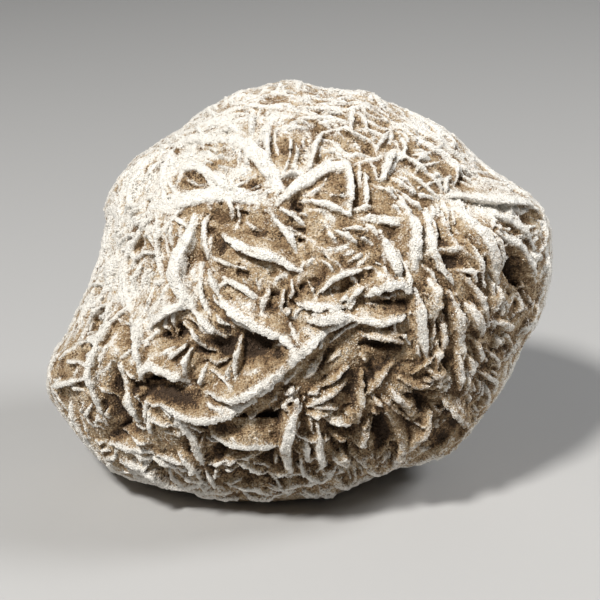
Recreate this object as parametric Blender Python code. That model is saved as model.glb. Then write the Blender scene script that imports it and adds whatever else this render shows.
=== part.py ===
"""Gypsum sand rose: a rounded cluster of gypsum blades, grown together and packed with sand.

The cluster formed as one piece, so it is one closed solid. Its body is a lumpy ovoid with broad
hollows, cut flat where it rests. The worn edges of the blades stand out of it as wedge-shaped
crests. Run with: blender --background --python part.py

The crests of the front are drawn by hand on a square sheet: x runs right, y runs down, and the
sheet is seen from EYE_DISTANCE, tilted EYE_TILT above the horizon. The crests of the hidden
sides follow families, each with its own run. Inside the script a place is (right, up, near) in
metres from CENTRE, as the eye sees it, and body_to_world turns it into +X right, +Z up.
"""

import math

import bmesh
import bpy
import numpy as np
from mathutils.geometry import delaunay_2d_cdt

# Driving dimensions, in metres.
SHEET_STEP = 0.00015            # one step of the front sheet: the stone is 76 mm wide
SHEET_MIDDLE = 300.0            # the sheet's x and y at the body's centre
CENTRE = (0.000085, 0.000145, 0.0285)  # the centre, from the middle of the stone's footprint
FRONT_DEPTH = 0.0300            # from the centre to the front, along the line of sight
BACK_DEPTH = 0.0290             # and to the back
ROUNDNESS = 2.2                 # exponent of the body's section: 2 is an ellipse
EYE_TILT = math.radians(18)
EYE_DISTANCE = 0.250

GROOVE = 0.0015                 # the sandy floor between crests lies this far under their envelope
FLANK = 0.55                    # a crest's side runs out this far per unit of its height
TOP_SPACING = 0.0020            # between points along a crest
FILL_SPACING = 0.0022           # between points on the sandy floor
TOP_GAP = 0.00050               # least distance between two points of crests
FOOT_GAP = 0.00080              # and from a crest's foot to any other point
MERGE = 0.0016                  # points of the flat triangulation this near become one
REST_SNAP = 0.0004              # a point this near the resting plane is moved onto it
REST_CLEAR = 0.0018             # no crest reaches below this height above the resting plane

# How far a crest stands above the floor beside it, in metres.
PROUD = 0.0022
PLAIN = 0.0015
WORN = 0.0008

# The stone's outline on the front sheet, clockwise from the top.
OUTLINE = [
    (290, 79), (304, 82), (320, 87), (350, 90), (370, 90), (390, 102), (410, 110), (430, 120),
    (450, 131), (470, 150), (488, 168), (510, 181), (530, 194), (544, 209), (551, 226), (553, 250),
    (552, 275), (548, 294), (541, 318), (531, 335), (519, 356), (504, 388), (485, 415), (466, 438),
    (450, 454), (430, 462), (397, 468), (370, 479), (350, 490), (330, 499), (300, 501), (260, 503),
    (220, 502), (190, 494), (160, 487), (140, 482), (110, 471), (90, 451), (66, 422), (50, 400),
    (45, 383), (50, 358), (66, 334), (76, 312), (88, 287), (100, 255), (105, 222), (103, 208),
    (110, 190), (122, 173), (134, 158), (153, 146), (180, 129), (200, 112), (220, 100), (240, 90),
    (260, 86),
]

# Hollows and swellings of the front: sheet x and y, reach along and across the run, the run's
# turn in degrees (anticlockwise from the sheet's right), rise in millimetres.
FRONT_RELIEF = [
    (366, 376, 46, 26, 20, -3.2),    # the deep bay under the middle lip
    (325, 362, 26, 10, 40, -1.6),    # its left end, close under the lip
    (386, 345, 22, 6, -8, -1.5),     # slot at its top
    (166, 393, 32, 10, -10, -3.6),   # the cave at the lower left
    (116, 402, 12, 32, 10, -2.6),    # the long trough beside it
    (116, 437, 14, 9, 0, -1.6),
    (118, 338, 9, 18, 12, -1.3),     # its shallow top
    (172, 334, 24, 8, 25, -1.8),     # under the left brow
    (212, 352, 20, 18, -30, -1.8),   # the pocket crossed by thin blades
    (258, 352, 34, 14, -28, -2.8),   # the triangular pocket under the long slash
    (222, 430, 26, 7, 0, -2.4),      # shelves down the foot
    (268, 428, 18, 10, 20, -1.8),
    (248, 459, 36, 7, 0, -3.0),
    (250, 484, 26, 6, 0, -2.2),
    (184, 450, 8, 12, 25, -1.8),
    (386, 438, 12, 14, 0, -3.2),     # the round cup
    (344, 436, 14, 6, -10, -2.2),
    (348, 455, 18, 5, -12, -2.2),
    (410, 432, 8, 14, 25, -1.8),
    (430, 400, 16, 6, 15, -2.4),
    (430, 412, 10, 6, 25, -1.8),
    (445, 440, 18, 12, 30, -1.6),    # the undercut corner
    (524, 276, 10, 24, 12, -2.4),    # the cup inside the right-hand arc
    (531, 214, 12, 5, -10, -1.6),    # under the shelf's tip
    (400, 306, 20, 7, 0, -2.2),      # under the right end of the middle ledge
    (338, 292, 24, 6, 30, -1.0),     # between the two feathered blades
    (275, 302, 12, 12, 0, -1.2),
    (452, 228, 12, 14, -20, -1.3),   # the right-hand windows
    (455, 262, 12, 10, 0, -1.2),
    (400, 246, 7, 18, 12, -1.2),
    (447, 310, 7, 22, 8, -1.2),
    (452, 366, 9, 16, 0, -1.3),
    (484, 192, 20, 6, -15, -1.0),    # above the shelf
    (468, 178, 8, 9, 0, -0.8),
    (344, 138, 24, 5, -18, -1.4),    # the brown strips of the crown
    (332, 124, 24, 3, 0, -1.0),
    (319, 152, 6, 6, 0, -0.9),
    (357, 192, 4, 18, 0, -0.9),
    (296, 202, 7, 10, 0, -1.3),
    (290, 178, 12, 5, 5, -1.0),
    (189, 181, 16, 9, 0, -1.1),      # the pockets of the brow
    (214, 147, 11, 4, 0, -0.7),
    (253, 184, 10, 7, 0, -0.9),
    (222, 213, 26, 7, -5, -1.2),     # the band below the brow
    (198, 248, 5, 16, 8, -1.4),
    (214, 240, 7, 10, 0, -1.1),
    (140, 243, 12, 8, 0, -0.9),
    (147, 264, 4, 8, -10, -0.7),
    (72, 357, 8, 6, 0, -0.9),
    (75, 390, 12, 6, 0, -0.9),
    (330, 318, 36, 8, 0, 1.2),       # the middle ledge swells towards the eye
    (240, 396, 36, 8, 15, 1.3),      # and so does the long lip below it
    (180, 285, 12, 26, 0, 1.0),
    (250, 150, 30, 22, -40, 0.8),
    (486, 245, 14, 40, -25, 1.0),
    (300, 345, 12, 12, 0, 1.2),
    (292, 430, 8, 34, 0, 0.9),
]

# Lumps and hollows of the hidden sides: bearing in degrees clockwise from the front as seen from
# above, height angle, reach in degrees, rise in millimetres.
HIDDEN_RELIEF = [
    (78, 30, 18, 1.2), (95, -8, 17, -1.8), (112, 30, 15, 1.6), (120, -35, 18, 1.2),
    (134, 2, 17, 1.5), (146, 50, 16, -1.7), (160, 22, 17, 1.7), (168, -22, 17, -1.9),
    (186, 48, 16, 1.2), (190, 5, 18, 1.6), (205, -38, 18, 1.2), (212, 28, 16, -1.8),
    (228, -6, 18, 1.8), (238, 48, 17, 1.4), (252, 14, 15, -1.7), (262, -30, 17, 1.3),
    (275, 34, 17, 1.3), (0, 76, 17, 0.8), (100, 64, 15, -1.4), (255, 72, 15, -1.0),
    (180, 76, 14, 1.0), (145, -20, 12, 0.9), (222, 10, 10, 0.7), (110, 8, 10, 0.9),
]

# Families of crests on the hidden sides: bearing and height angle of the middle, and the way
# that its crests run in degrees (0 is level, 90 upright).
HIDDEN_FAMILIES = [
    (75, 55, 20), (90, 15, 105), (92, -30, 70), (118, 45, 50), (124, -5, 80), (128, -45, 140),
    (150, 18, 25), (152, -22, 115), (158, 60, 95), (180, 35, 130), (184, -2, 60), (188, -42, 10),
    (212, 15, 85), (215, -22, 30), (222, 55, 155), (240, 30, 65), (245, -5, 120), (250, -42, 50),
    (268, 18, 95), (272, 55, 30), (275, -20, 75), (330, 75, 15), (30, 78, 60),
]
HIDDEN_SEED = 11
HIDDEN_TRIES = 4200             # candidate crests, most of which find no room
HIDDEN_ROOM = 0.0023            # least distance between the middles of two crests
HIDDEN_LENGTH = (0.0070, 0.0180)
HIDDEN_SHORTEST = 0.0050
HIDDEN_STAND = (0.0010, 0.0019)
HIDDEN_WIDTH = (0.0005, 0.0012)
HIDDEN_EDGE = 0.0090            # hidden crests stay farther from the eye than this
CROSSING_SHARE = 0.12           # of hidden crests that cut across their family

# Crests of the front: width of the worn edge in millimetres, how it stands, and its course.
FRONT_CRESTS = {
    "brow": [
        (1.05, PLAIN, [(170, 188), (176, 176), (186, 166), (198, 166), (207, 175), (212, 190)]),
        (0.90, PLAIN, [(163, 203), (160, 182), (165, 162), (173, 147), (190, 138)]),
        (0.75, PLAIN, [(124, 208), (130, 187), (140, 169), (152, 155), (166, 146)]),
        (1.35, PLAIN, [(148, 204), (175, 203), (200, 196), (222, 193), (242, 196), (262, 200),
                       (276, 199)]),
        (1.50, PROUD, [(228, 138), (243, 144), (256, 155), (267, 168), (276, 180), (284, 189)]),
        (1.05, PLAIN, [(172, 145), (190, 139), (210, 138), (228, 139)]),
        (0.90, PLAIN, [(190, 160), (203, 167), (212, 176), (222, 184), (235, 190)]),
        (0.75, WORN, [(200, 120), (220, 110), (245, 104), (270, 104), (300, 108)]),
    ],
    "crown": [
        (0.60, PROUD, [(252, 110), (252, 125), (251, 141)]),
        (0.60, PROUD, [(267, 128), (268, 142), (269, 156)]),
        (0.67, PROUD, [(324, 128), (316, 146), (310, 165)]),
        (1.20, PROUD, [(274, 203), (290, 189), (310, 176), (330, 165), (349, 160)]),
        (0.90, PROUD, [(349, 160), (351, 185), (352, 213)]),
        (0.90, PLAIN, [(300, 197), (320, 201), (338, 207), (352, 213)]),
        (0.90, PLAIN, [(298, 116), (325, 117), (351, 120)]),
        (0.60, PLAIN, [(352, 108), (352, 118), (353, 128)]),
        (0.75, PLAIN, [(322, 128), (340, 127), (354, 132), (370, 139), (378, 144)]),
        (0.45, PLAIN, [(320, 143), (334, 149), (347, 157)]),
        (0.60, PLAIN, [(388, 131), (382, 140), (377, 149)]),
        (0.60, WORN, [(300, 104), (322, 106), (346, 109)]),
        (0.60, WORN, [(270, 100), (290, 104), (310, 110)]),
        (0.45, PLAIN, [(278, 175), (290, 171), (303, 170)]),
        (0.60, WORN, [(355, 125), (372, 128), (390, 133)]),
        (0.60, PLAIN, [(366, 165), (367, 185), (368, 208)]),
        (1.05, PROUD, [(396, 147), (389, 160), (385, 176)]),
        (0.75, PLAIN, [(378, 183), (388, 188), (398, 194)]),
    ],
    "right_shoulder": [
        (0.90, WORN, [(405, 118), (430, 132), (452, 146), (470, 160)]),
        (0.75, WORN, [(380, 110), (405, 125), (430, 142), (450, 155), (463, 168)]),
        (0.75, PLAIN, [(400, 150), (415, 160), (430, 172), (445, 185)]),
        (1.35, PROUD, [(452, 194), (475, 198), (500, 203), (525, 203), (544, 208)]),
        (0.75, PLAIN, [(497, 179), (512, 184), (526, 191), (538, 203)]),
        (0.60, PLAIN, [(450, 150), (456, 161), (466, 171), (478, 180)]),
        (0.60, PLAIN, [(440, 168), (447, 180), (452, 192)]),
    ],
    "right_flank": [
        (0.90, PROUD, [(402, 201), (411, 213), (415, 228), (417, 246), (418, 268)]),
        (1.20, PROUD, [(383, 230), (386, 242), (392, 256), (399, 272), (403, 281)]),
        (0.90, PLAIN, [(430, 205), (433, 225), (434, 246), (440, 260), (448, 273), (457, 284)]),
        (0.90, PROUD, [(453, 294), (457, 308), (460, 322), (464, 338), (466, 353)]),
        (0.90, PROUD, [(432, 279), (438, 289), (440, 302), (439, 321)]),
        (0.75, PLAIN, [(419, 297), (423, 312), (424, 330), (426, 348), (430, 360)]),
        (0.75, PROUD, [(470, 303), (474, 312), (480, 324), (487, 338)]),
        (0.60, PLAIN, [(463, 270), (468, 278), (475, 285)]),
        (1.35, PROUD, [(462, 205), (470, 220), (480, 236), (488, 251), (495, 265), (503, 281)]),
        (0.75, PLAIN, [(489, 229), (497, 243), (503, 257), (508, 269)]),
        (0.75, PROUD, [(498, 232), (510, 238), (521, 246), (530, 258), (537, 270), (541, 282)]),
        (0.75, PLAIN, [(513, 270), (519, 281), (524, 293), (529, 305)]),
        (0.60, PLAIN, [(503, 288), (504, 299), (503, 311)]),
        (0.90, PLAIN, [(486, 212), (500, 216), (518, 224), (532, 236), (539, 248)]),
        (0.60, PLAIN, [(543, 214), (548, 228), (548, 246)]),
        (0.60, PLAIN, [(549, 252), (551, 272), (548, 290)]),
        (0.60, PLAIN, [(541, 300), (539, 315), (530, 328), (524, 340)]),
        (0.60, PLAIN, [(492, 352), (500, 362), (503, 372)]),
        (0.60, PLAIN, [(512, 336), (514, 348), (510, 362)]),
        (0.60, WORN, [(443, 247), (455, 249), (468, 246)]),
        (0.75, PLAIN, [(497, 322), (508, 326), (517, 331)]),
    ],
    "middle": [
        (1.35, PROUD, [(220, 234), (234, 245), (250, 253), (268, 257), (283, 263), (296, 271)]),
        (0.75, PLAIN, [(268, 205), (275, 220), (284, 229), (292, 240), (297, 251)]),
        (0.75, PLAIN, [(280, 207), (292, 214), (303, 222)]),
        (1.05, PLAIN, [(222, 277), (236, 285), (249, 294), (261, 302)]),
        (0.90, PROUD, [(268, 290), (264, 301), (261, 315)]),
        (0.53, PROUD, [(284, 290), (282, 301), (280, 313)]),
        (1.05, PROUD, [(298, 305), (316, 308), (345, 309)]),
        (0.60, PROUD, [(372, 267), (355, 272), (338, 277), (329, 284), (320, 294), (312, 302)]),
        (0.53, PROUD, [(370, 284), (360, 290), (354, 297), (347, 305)]),
        (0.45, PLAIN, [(322, 259), (328, 263), (335, 271)]),
        (1.35, PLAIN, [(368, 297), (384, 290), (398, 286), (411, 293)]),
        (1.35, WORN, [(357, 214), (376, 217), (396, 220), (412, 226)]),
        (0.90, PLAIN, [(338, 229), (347, 234), (357, 240)]),
        (0.75, PLAIN, [(205, 270), (212, 284), (217, 297)]),
        (1.20, PROUD, [(216, 296), (222, 305), (235, 315), (250, 325), (264, 332), (279, 339),
                       (292, 348), (301, 353)]),
        (1.35, PROUD, [(205, 397), (225, 400), (245, 395), (262, 386), (278, 375), (292, 363),
                       (303, 351), (318, 340), (331, 330), (345, 323), (353, 320)]),
        (0.90, PROUD, [(353, 320), (368, 322), (384, 325), (397, 321), (407, 318)]),
        (1.50, PLAIN, [(310, 322), (330, 320), (350, 317)]),
        (0.53, PLAIN, [(365, 338), (385, 340), (406, 345)]),
        (0.45, PLAIN, [(285, 317), (292, 310)]),
        (0.53, PLAIN, [(204, 215), (203, 235), (205, 255)]),
    ],
    "left_flank": [
        (1.80, PROUD, [(192, 214), (189, 233), (183, 250), (178, 268), (180, 288), (190, 308)]),
        (1.05, PROUD, [(190, 308), (173, 311), (158, 320), (146, 328)]),
        (0.90, PROUD, [(135, 316), (136, 334), (138, 352), (139, 367), (134, 380)]),
        (0.75, PLAIN, [(190, 310), (199, 320), (210, 331), (222, 340)]),
        (0.60, PLAIN, [(178, 322), (189, 336), (200, 350), (213, 358)]),
        (0.75, PLAIN, [(152, 212), (156, 235), (155, 256), (157, 275)]),
        (0.90, PLAIN, [(146, 216), (137, 231), (128, 246), (122, 262), (121, 285), (123, 308)]),
        (0.60, PLAIN, [(140, 258), (134, 272), (131, 290)]),
        (0.60, PLAIN, [(151, 269), (146, 278), (143, 289)]),
        (0.90, PROUD, [(123, 308), (108, 320), (101, 336), (94, 352), (89, 370), (90, 386), (96, 402),
                       (101, 425)]),
        (0.60, PLAIN, [(101, 303), (91, 314), (83, 329)]),
        (0.75, PLAIN, [(113, 256), (107, 268), (101, 285)]),
        (0.53, PLAIN, [(83, 334), (90, 342), (94, 350)]),
        (0.75, PLAIN, [(48, 388), (62, 385), (80, 381)]),
        (1.05, PROUD, [(114, 366), (118, 384), (124, 398), (130, 412), (133, 425)]),
        (0.90, PROUD, [(134, 383), (142, 373), (152, 366), (166, 373), (178, 379), (186, 390),
                       (192, 400)]),
        (0.45, PROUD, [(188, 350), (185, 363), (183, 376)]),
        (0.53, PLAIN, [(183, 347), (172, 355), (160, 366)]),
        (0.60, PLAIN, [(202, 363), (214, 366), (227, 362)]),
        (0.75, PROUD, [(239, 334), (236, 350), (234, 366), (234, 381)]),
        (0.60, WORN, [(168, 222), (168, 242)]),
    ],
    "left_foot": [
        (0.60, PLAIN, [(200, 401), (210, 408), (225, 410), (241, 408), (255, 402)]),
        (1.05, PROUD, [(150, 409), (166, 409), (180, 416), (195, 420), (208, 421), (225, 417),
                       (240, 411), (256, 402)]),
        (1.20, PLAIN, [(173, 428), (183, 434), (190, 446), (195, 460), (200, 472)]),
        (0.90, PROUD, [(211, 441), (228, 446), (254, 447), (284, 449)]),
        (1.50, PROUD, [(297, 402), (294, 418), (289, 433), (286, 448), (287, 463), (291, 477)]),
        (0.60, PLAIN, [(219, 471), (234, 467), (255, 466), (272, 462)]),
        (0.53, PLAIN, [(235, 470), (250, 474), (265, 479), (275, 487), (284, 494)]),
        (0.90, PLAIN, [(120, 467), (140, 470), (155, 476), (167, 484), (182, 489), (200, 490)]),
        (0.75, PLAIN, [(176, 461), (187, 468), (197, 479)]),
        (0.60, PLAIN, [(228, 492), (250, 493), (270, 497), (288, 496)]),
        (0.45, PLAIN, [(265, 478), (280, 477), (292, 478)]),
        (0.90, WORN, [(105, 448), (125, 455), (150, 460)]),
        (0.45, PLAIN, [(276, 458), (275, 470)]),
    ],
    "right_foot": [
        (1.05, PLAIN, [(304, 385), (312, 374), (321, 362), (328, 350)]),
        (0.45, PLAIN, [(327, 369), (334, 363), (342, 357)]),
        (0.53, PROUD, [(319, 393), (331, 388), (342, 380), (351, 371)]),
        (0.45, PLAIN, [(310, 399), (317, 396), (324, 392)]),
        (0.75, PROUD, [(309, 412), (322, 404), (336, 396), (351, 388)]),
        (0.60, PLAIN, [(305, 419), (318, 419), (333, 419)]),
        (0.67, PROUD, [(329, 427), (345, 427), (361, 428)]),
        (0.75, PLAIN, [(368, 378), (366, 392), (365, 406), (362, 420), (361, 430)]),
        (0.60, PROUD, [(400, 366), (390, 377), (380, 389), (371, 401)]),
        (0.90, PLAIN, [(319, 430), (320, 446), (322, 461), (324, 476)]),
        (0.75, PLAIN, [(306, 441), (308, 456), (308, 468)]),
        (0.53, PLAIN, [(376, 428), (369, 437), (362, 446), (370, 452)]),
        (0.75, PLAIN, [(299, 473), (307, 480), (318, 484), (330, 480), (339, 472)]),
        (0.90, PROUD, [(353, 461), (363, 466), (373, 473), (381, 475), (391, 470), (398, 456),
                       (401, 440), (396, 427), (388, 417)]),
        (0.60, PLAIN, [(401, 382), (411, 387), (421, 391), (431, 388), (441, 381)]),
        (0.60, PLAIN, [(431, 370), (438, 378), (447, 380), (448, 364)]),
        (0.90, PLAIN, [(396, 393), (400, 402), (409, 409), (421, 412)]),
        (0.75, PROUD, [(401, 456), (412, 449), (421, 440), (430, 430), (436, 417)]),
        (0.90, PROUD, [(446, 403), (452, 414), (461, 422), (472, 428)]),
        (0.45, PLAIN, [(456, 405), (464, 413), (470, 418)]),
        (0.75, PLAIN, [(463, 352), (463, 366), (464, 380), (465, 392)]),
        (0.45, PLAIN, [(472, 371), (470, 386), (468, 399)]),
        (0.75, PLAIN, [(491, 388), (488, 400), (483, 411)]),
        (0.60, PLAIN, [(484, 374), (493, 379), (502, 389)]),
        (0.75, PLAIN, [(338, 484), (349, 487), (358, 485)]),
        (0.60, PLAIN, [(335, 463), (345, 467), (353, 470)]),
        (0.45, PLAIN, [(332, 440), (343, 444), (352, 446)]),
        (0.45, PLAIN, [(437, 440), (444, 430), (452, 424)]),
        (0.38, PLAIN, [(363, 357), (369, 365)]),
    ],
}

RIGHT = np.array((1.0, 0.0, 0.0))
UP = np.array((0.0, math.sin(EYE_TILT), math.cos(EYE_TILT)))
NEAR = np.array((0.0, -math.cos(EYE_TILT), math.sin(EYE_TILT)))


# ---------------------------------------------------------------- places on the stone

def body_to_world(places):
    """World positions of (right, up, near) places; nearer ones crowd towards the line of sight."""
    shrink = (EYE_DISTANCE - places[:, 2:3]) / EYE_DISTANCE
    across = places[:, 0:1] * RIGHT + places[:, 1:2] * UP
    return np.array(CENTRE) + across * shrink + places[:, 2:3] * NEAR


def outline_radius(angle):
    """Distance from the centre to the outline, at an angle anticlockwise from the right."""
    points = np.array(OUTLINE, dtype=float)
    right = (points[:, 0] - SHEET_MIDDLE) * SHEET_STEP
    up = (SHEET_MIDDLE - points[:, 1]) * SHEET_STEP
    turn = np.arctan2(up, right)
    order = np.argsort(turn)
    return np.interp(angle, turn[order], np.hypot(right, up)[order], period=2 * math.pi)


def envelope(ways):
    """Distance from the centre to the surface that the crests reach, along unit vectors."""
    level = np.hypot(ways[:, 0], ways[:, 1]) / outline_radius(np.arctan2(ways[:, 1], ways[:, 0]))
    depth = np.where(ways[:, 2] > 0, FRONT_DEPTH, BACK_DEPTH)
    far = np.abs(ways[:, 2]) / depth
    return (level ** ROUNDNESS + far ** ROUNDNESS) ** (-1 / ROUNDNESS)


def on_envelope(places):
    """Move places along their own direction onto the envelope."""
    ways = places / np.linalg.norm(places, axis=1, keepdims=True)
    return ways * envelope(ways)[:, None]


def lift_from_sheet(course):
    """Places on the envelope that the eye sees at points of the front sheet."""
    course = np.array(course, dtype=float)
    right = (course[:, 0] - SHEET_MIDDLE) * SHEET_STEP
    up = (SHEET_MIDDLE - course[:, 1]) * SHEET_STEP
    share = np.hypot(right, up) / outline_radius(np.arctan2(up, right))
    share = np.minimum(share, 0.985)
    near = FRONT_DEPTH * (1 - share ** ROUNDNESS) ** (1 / ROUNDNESS)
    return np.stack([right, up, near], axis=1)


def sheet_position(places):
    """Sheet x and y of places, as the eye sees them."""
    x = SHEET_MIDDLE + places[:, 0] / SHEET_STEP
    y = SHEET_MIDDLE - places[:, 1] / SHEET_STEP
    return x, y


def way_of(bearing, height):
    """Unit vector, in the body's own axes, of a bearing from the front and a height angle."""
    bearing = math.radians(bearing)
    height = math.radians(height)
    world = np.array((math.sin(bearing) * math.cos(height),
                      -math.cos(bearing) * math.cos(height),
                      math.sin(height)))
    return np.array((world @ RIGHT, world @ UP, world @ NEAR))


# ---------------------------------------------------------------- the sandy floor

def wear(places):
    """How deep the grooves are: 1, and less on the worn brow and round the outline."""
    x, y = sheet_position(places)
    down = np.clip(((x - 150) * 0.25 + (y - 130) * 0.9) / 230, 0, 1)
    seen = np.clip(places[:, 2] / 0.010, 0, 1)
    rim = np.exp(-((places[:, 2] - 0.002) / 0.008) ** 2)
    return (1 - 0.5 * seen * (1 - down)) * (1 - 0.5 * rim)


def floor_height(places):
    """Height of the sandy floor over the envelope, in metres, at places on the envelope."""
    height = -GROOVE * wear(places)
    x, y = sheet_position(places)
    seen = np.clip(places[:, 2] / 0.006, 0, 1)
    for at_x, at_y, along, across, turn, rise in FRONT_RELIEF:
        turn = math.radians(turn)
        run = (x - at_x) * math.cos(turn) - (y - at_y) * math.sin(turn)
        side = (x - at_x) * math.sin(turn) + (y - at_y) * math.cos(turn)
        spread = (run / along) ** 2 + (side / across) ** 2
        height = height + seen * rise * 0.001 * np.exp(-spread ** 1.4)
    ways = places / np.linalg.norm(places, axis=1, keepdims=True)
    behind = np.clip((0.002 - places[:, 2]) / 0.008, 0, 1)
    for bearing, up, reach, rise in HIDDEN_RELIEF:
        apart = np.degrees(np.arccos(np.clip(ways @ way_of(bearing, up), -1, 1)))
        height = height + behind * rise * 0.001 * np.exp(-(apart / reach) ** 2)
    return height


# ---------------------------------------------------------------- crests

def smooth_course(points, spacing):
    """Evenly spaced points on a smooth curve through the given ones."""
    padded = np.vstack([2 * points[0] - points[1], points, 2 * points[-1] - points[-2]])
    steps = np.linspace(0, 1, 12, endpoint=False)[:, None]
    pieces = []
    for a, b, c, d in zip(padded, padded[1:], padded[2:], padded[3:]):
        bend = 2 * a - 5 * b + 4 * c - d
        twist = 3 * b - 3 * c + d - a
        pieces.append(0.5 * (2 * b + (c - a) * steps + bend * steps ** 2 + twist * steps ** 3))
    curve = np.vstack(pieces + [points[-1:]])
    run = np.concatenate([[0], np.cumsum(np.linalg.norm(np.diff(curve, axis=0), axis=1))])
    count = max(3, int(round(run[-1] / spacing)) + 1)
    marks = np.linspace(0, run[-1], count)
    return np.stack([np.interp(marks, run, curve[:, axis]) for axis in range(3)], axis=1)


def make_crest(course, width, stand):
    """A crest: its course on the envelope, and its half width and height at each point of it."""
    places = on_envelope(smooth_course(course, TOP_SPACING))
    share = np.linspace(0, 1, len(places))
    taper = np.clip(np.minimum(share, 1 - share) * 4, 0, 1)
    half = width / 2 * (0.55 + 0.45 * taper)
    height = stand * (0.35 + 0.65 * taper) * (0.35 + 0.65 * wear(places))
    return places, half, height


def front_crests():
    crests = []
    for group in FRONT_CRESTS.values():
        for width, stand, course in group:
            crests.append(make_crest(lift_from_sheet(course), width * 0.001, stand))
    return crests


def family_run(way, rng):
    """Direction across the surface in which a hidden crest runs, and the way up beside it."""
    middles = np.array([way_of(bearing, height) for bearing, height, _ in HIDDEN_FAMILIES])
    nearest = int(np.argmax(middles @ way))
    turn = math.radians(HIDDEN_FAMILIES[nearest][2]) + rng.normal(0, 0.22)
    if rng.random() < CROSSING_SHARE:
        turn += math.pi / 2 + rng.normal(0, 0.3)
    overhead = np.array((0.0, UP[2], NEAR[2]))
    level = np.cross(overhead, way)
    level = level / np.linalg.norm(level)
    upright = np.cross(way, level)
    run = math.cos(turn) * level + math.sin(turn) * upright
    return run, np.cross(way, run)


def hidden_crests(shown):
    """Crests of the sides, the back and underneath, fitted into the room that is left."""
    rng = np.random.default_rng(HIDDEN_SEED)
    taken = np.vstack([places for places, _, _ in shown])
    crests = []
    for _ in range(HIDDEN_TRIES):
        way = rng.normal(size=3)
        way = way / np.linalg.norm(way)
        run, side = family_run(way, rng)
        length = rng.uniform(*HIDDEN_LENGTH)
        width = rng.uniform(*HIDDEN_WIDTH)
        stand = rng.uniform(*HIDDEN_STAND)
        bow = rng.normal(0, 0.12) * length
        middle = on_envelope(way[None, :])[0]
        share = np.linspace(-1, 1, 9)[:, None]
        course = middle + run * share * length / 2 + side * bow * (1 - share ** 2)
        course = on_envelope(course)
        apart = np.linalg.norm(course[:, None] - taken[None], axis=2).min(axis=1)
        clear = (apart > HIDDEN_ROOM) & (course[:, 2] < HIDDEN_EDGE)
        clear &= body_to_world(course)[:, 2] > REST_CLEAR
        free = longest_run(clear)
        if len(free) < 2 or length * (len(free) - 1) / 8 < HIDDEN_SHORTEST:
            continue
        crest = make_crest(course[free], width, stand)
        crests.append(crest)
        taken = np.vstack([taken, crest[0]])
    return crests


def longest_run(flags):
    """Indices of the longest unbroken stretch of true flags."""
    best = []
    current = []
    for index, flag in enumerate(flags):
        current = current + [index] if flag else []
        if len(current) > len(best):
            best = current
    return best


def crest_height(places, crests):
    """How far the crests stand above the floor at places on the envelope."""
    height = np.zeros(len(places))
    for course, half, stand in crests:
        near = np.linalg.norm(places - course.mean(axis=0), axis=1)
        reach = np.linalg.norm(course - course.mean(axis=0), axis=1).max() + 0.004
        index = np.nonzero(near < reach)[0]
        if len(index) == 0:
            continue
        some = places[index]
        best = np.zeros(len(index))
        for k in range(len(course) - 1):
            start = course[k]
            along = course[k + 1] - start
            share = np.clip((some - start) @ along / (along @ along), 0, 1)
            apart = np.linalg.norm(some - start - share[:, None] * along, axis=1)
            wide = half[k] + share * (half[k + 1] - half[k])
            tall = stand[k] + share * (stand[k + 1] - stand[k])
            best = np.maximum(best, tall - np.maximum(apart - wide, 0) / FLANK)
        height[index] = np.maximum(height[index], best)
    return height


# ---------------------------------------------------------------- the mesh

def spaced(candidates, kept, gap):
    """Which candidates lie at least gap from the kept places and from each other."""
    cells = {}

    def cell_of(place):
        return tuple(np.floor(place / gap).astype(int))

    for place in kept:
        cells.setdefault(cell_of(place), []).append(place)
    flags = []
    for place in candidates:
        a, b, c = cell_of(place)
        free = True
        for da in (-1, 0, 1):
            for db in (-1, 0, 1):
                for dc in (-1, 0, 1):
                    for other in cells.get((a + da, b + db, c + dc), ()):
                        if np.sum((other - place) ** 2) < gap * gap:
                            free = False
        if free:
            cells.setdefault((a, b, c), []).append(place)
        flags.append(free)
    return np.array(flags)


def crest_lines(crests):
    """Lines of points along the tops of the crests, and points along their feet."""
    lines = []
    feet = []
    for course, half, stand in crests:
        ways = course / np.linalg.norm(course, axis=1, keepdims=True)
        along = np.gradient(course, axis=0)
        side = np.cross(ways, along)
        side = side / np.linalg.norm(side, axis=1, keepdims=True)
        wide = half[:, None]
        out = (half + FLANK * stand)[:, None] + 0.00012
        if half.max() > 0.0004:
            lines.append(on_envelope(course + side * wide))
            lines.append(on_envelope(course - side * wide))
        else:
            lines.append(course)
        feet.append(course + side * out)
        feet.append(course - side * out)
        ahead = along / np.linalg.norm(along, axis=1, keepdims=True)
        feet.append(course[:1] - ahead[:1] * out[:1])
        feet.append(course[-1:] + ahead[-1:] * out[-1:])
    return lines, on_envelope(np.vstack(feet))


def floor_points():
    """Points spread evenly over the whole envelope."""
    count = int(4 * math.pi * 0.033 ** 2 / (0.8 * FILL_SPACING ** 2))
    index = np.arange(count) + 0.5
    near = 1 - 2 * index / count
    turn = index * math.pi * (3 - math.sqrt(5))
    ring = np.sqrt(1 - near ** 2)
    ways = np.stack([ring * np.cos(turn), ring * np.sin(turn), near], axis=1)
    return on_envelope(ways)


def skin_places(crests):
    """Places on the envelope for the mesh's vertices, and the pairs that a crest's top joins."""
    lines, feet = crest_lines(crests)
    tops = np.vstack(lines)
    line_of = np.concatenate([[k] * len(line) for k, line in enumerate(lines)])
    free = spaced(tops, [], TOP_GAP)
    index = np.cumsum(free) - 1
    pairs = []
    for k in range(len(tops) - 1):
        if free[k] and free[k + 1] and line_of[k] == line_of[k + 1]:
            pairs.append((int(index[k]), int(index[k + 1])))
    kept = tops[free]
    low = feet[crest_height(feet, crests) < 0.00025]
    kept = np.vstack([kept, low[spaced(low, kept, FOOT_GAP)]])
    level = floor_points()
    level = level[spaced(level, kept, FILL_SPACING * 0.72)]
    return np.vstack([kept, level]), pairs


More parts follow.
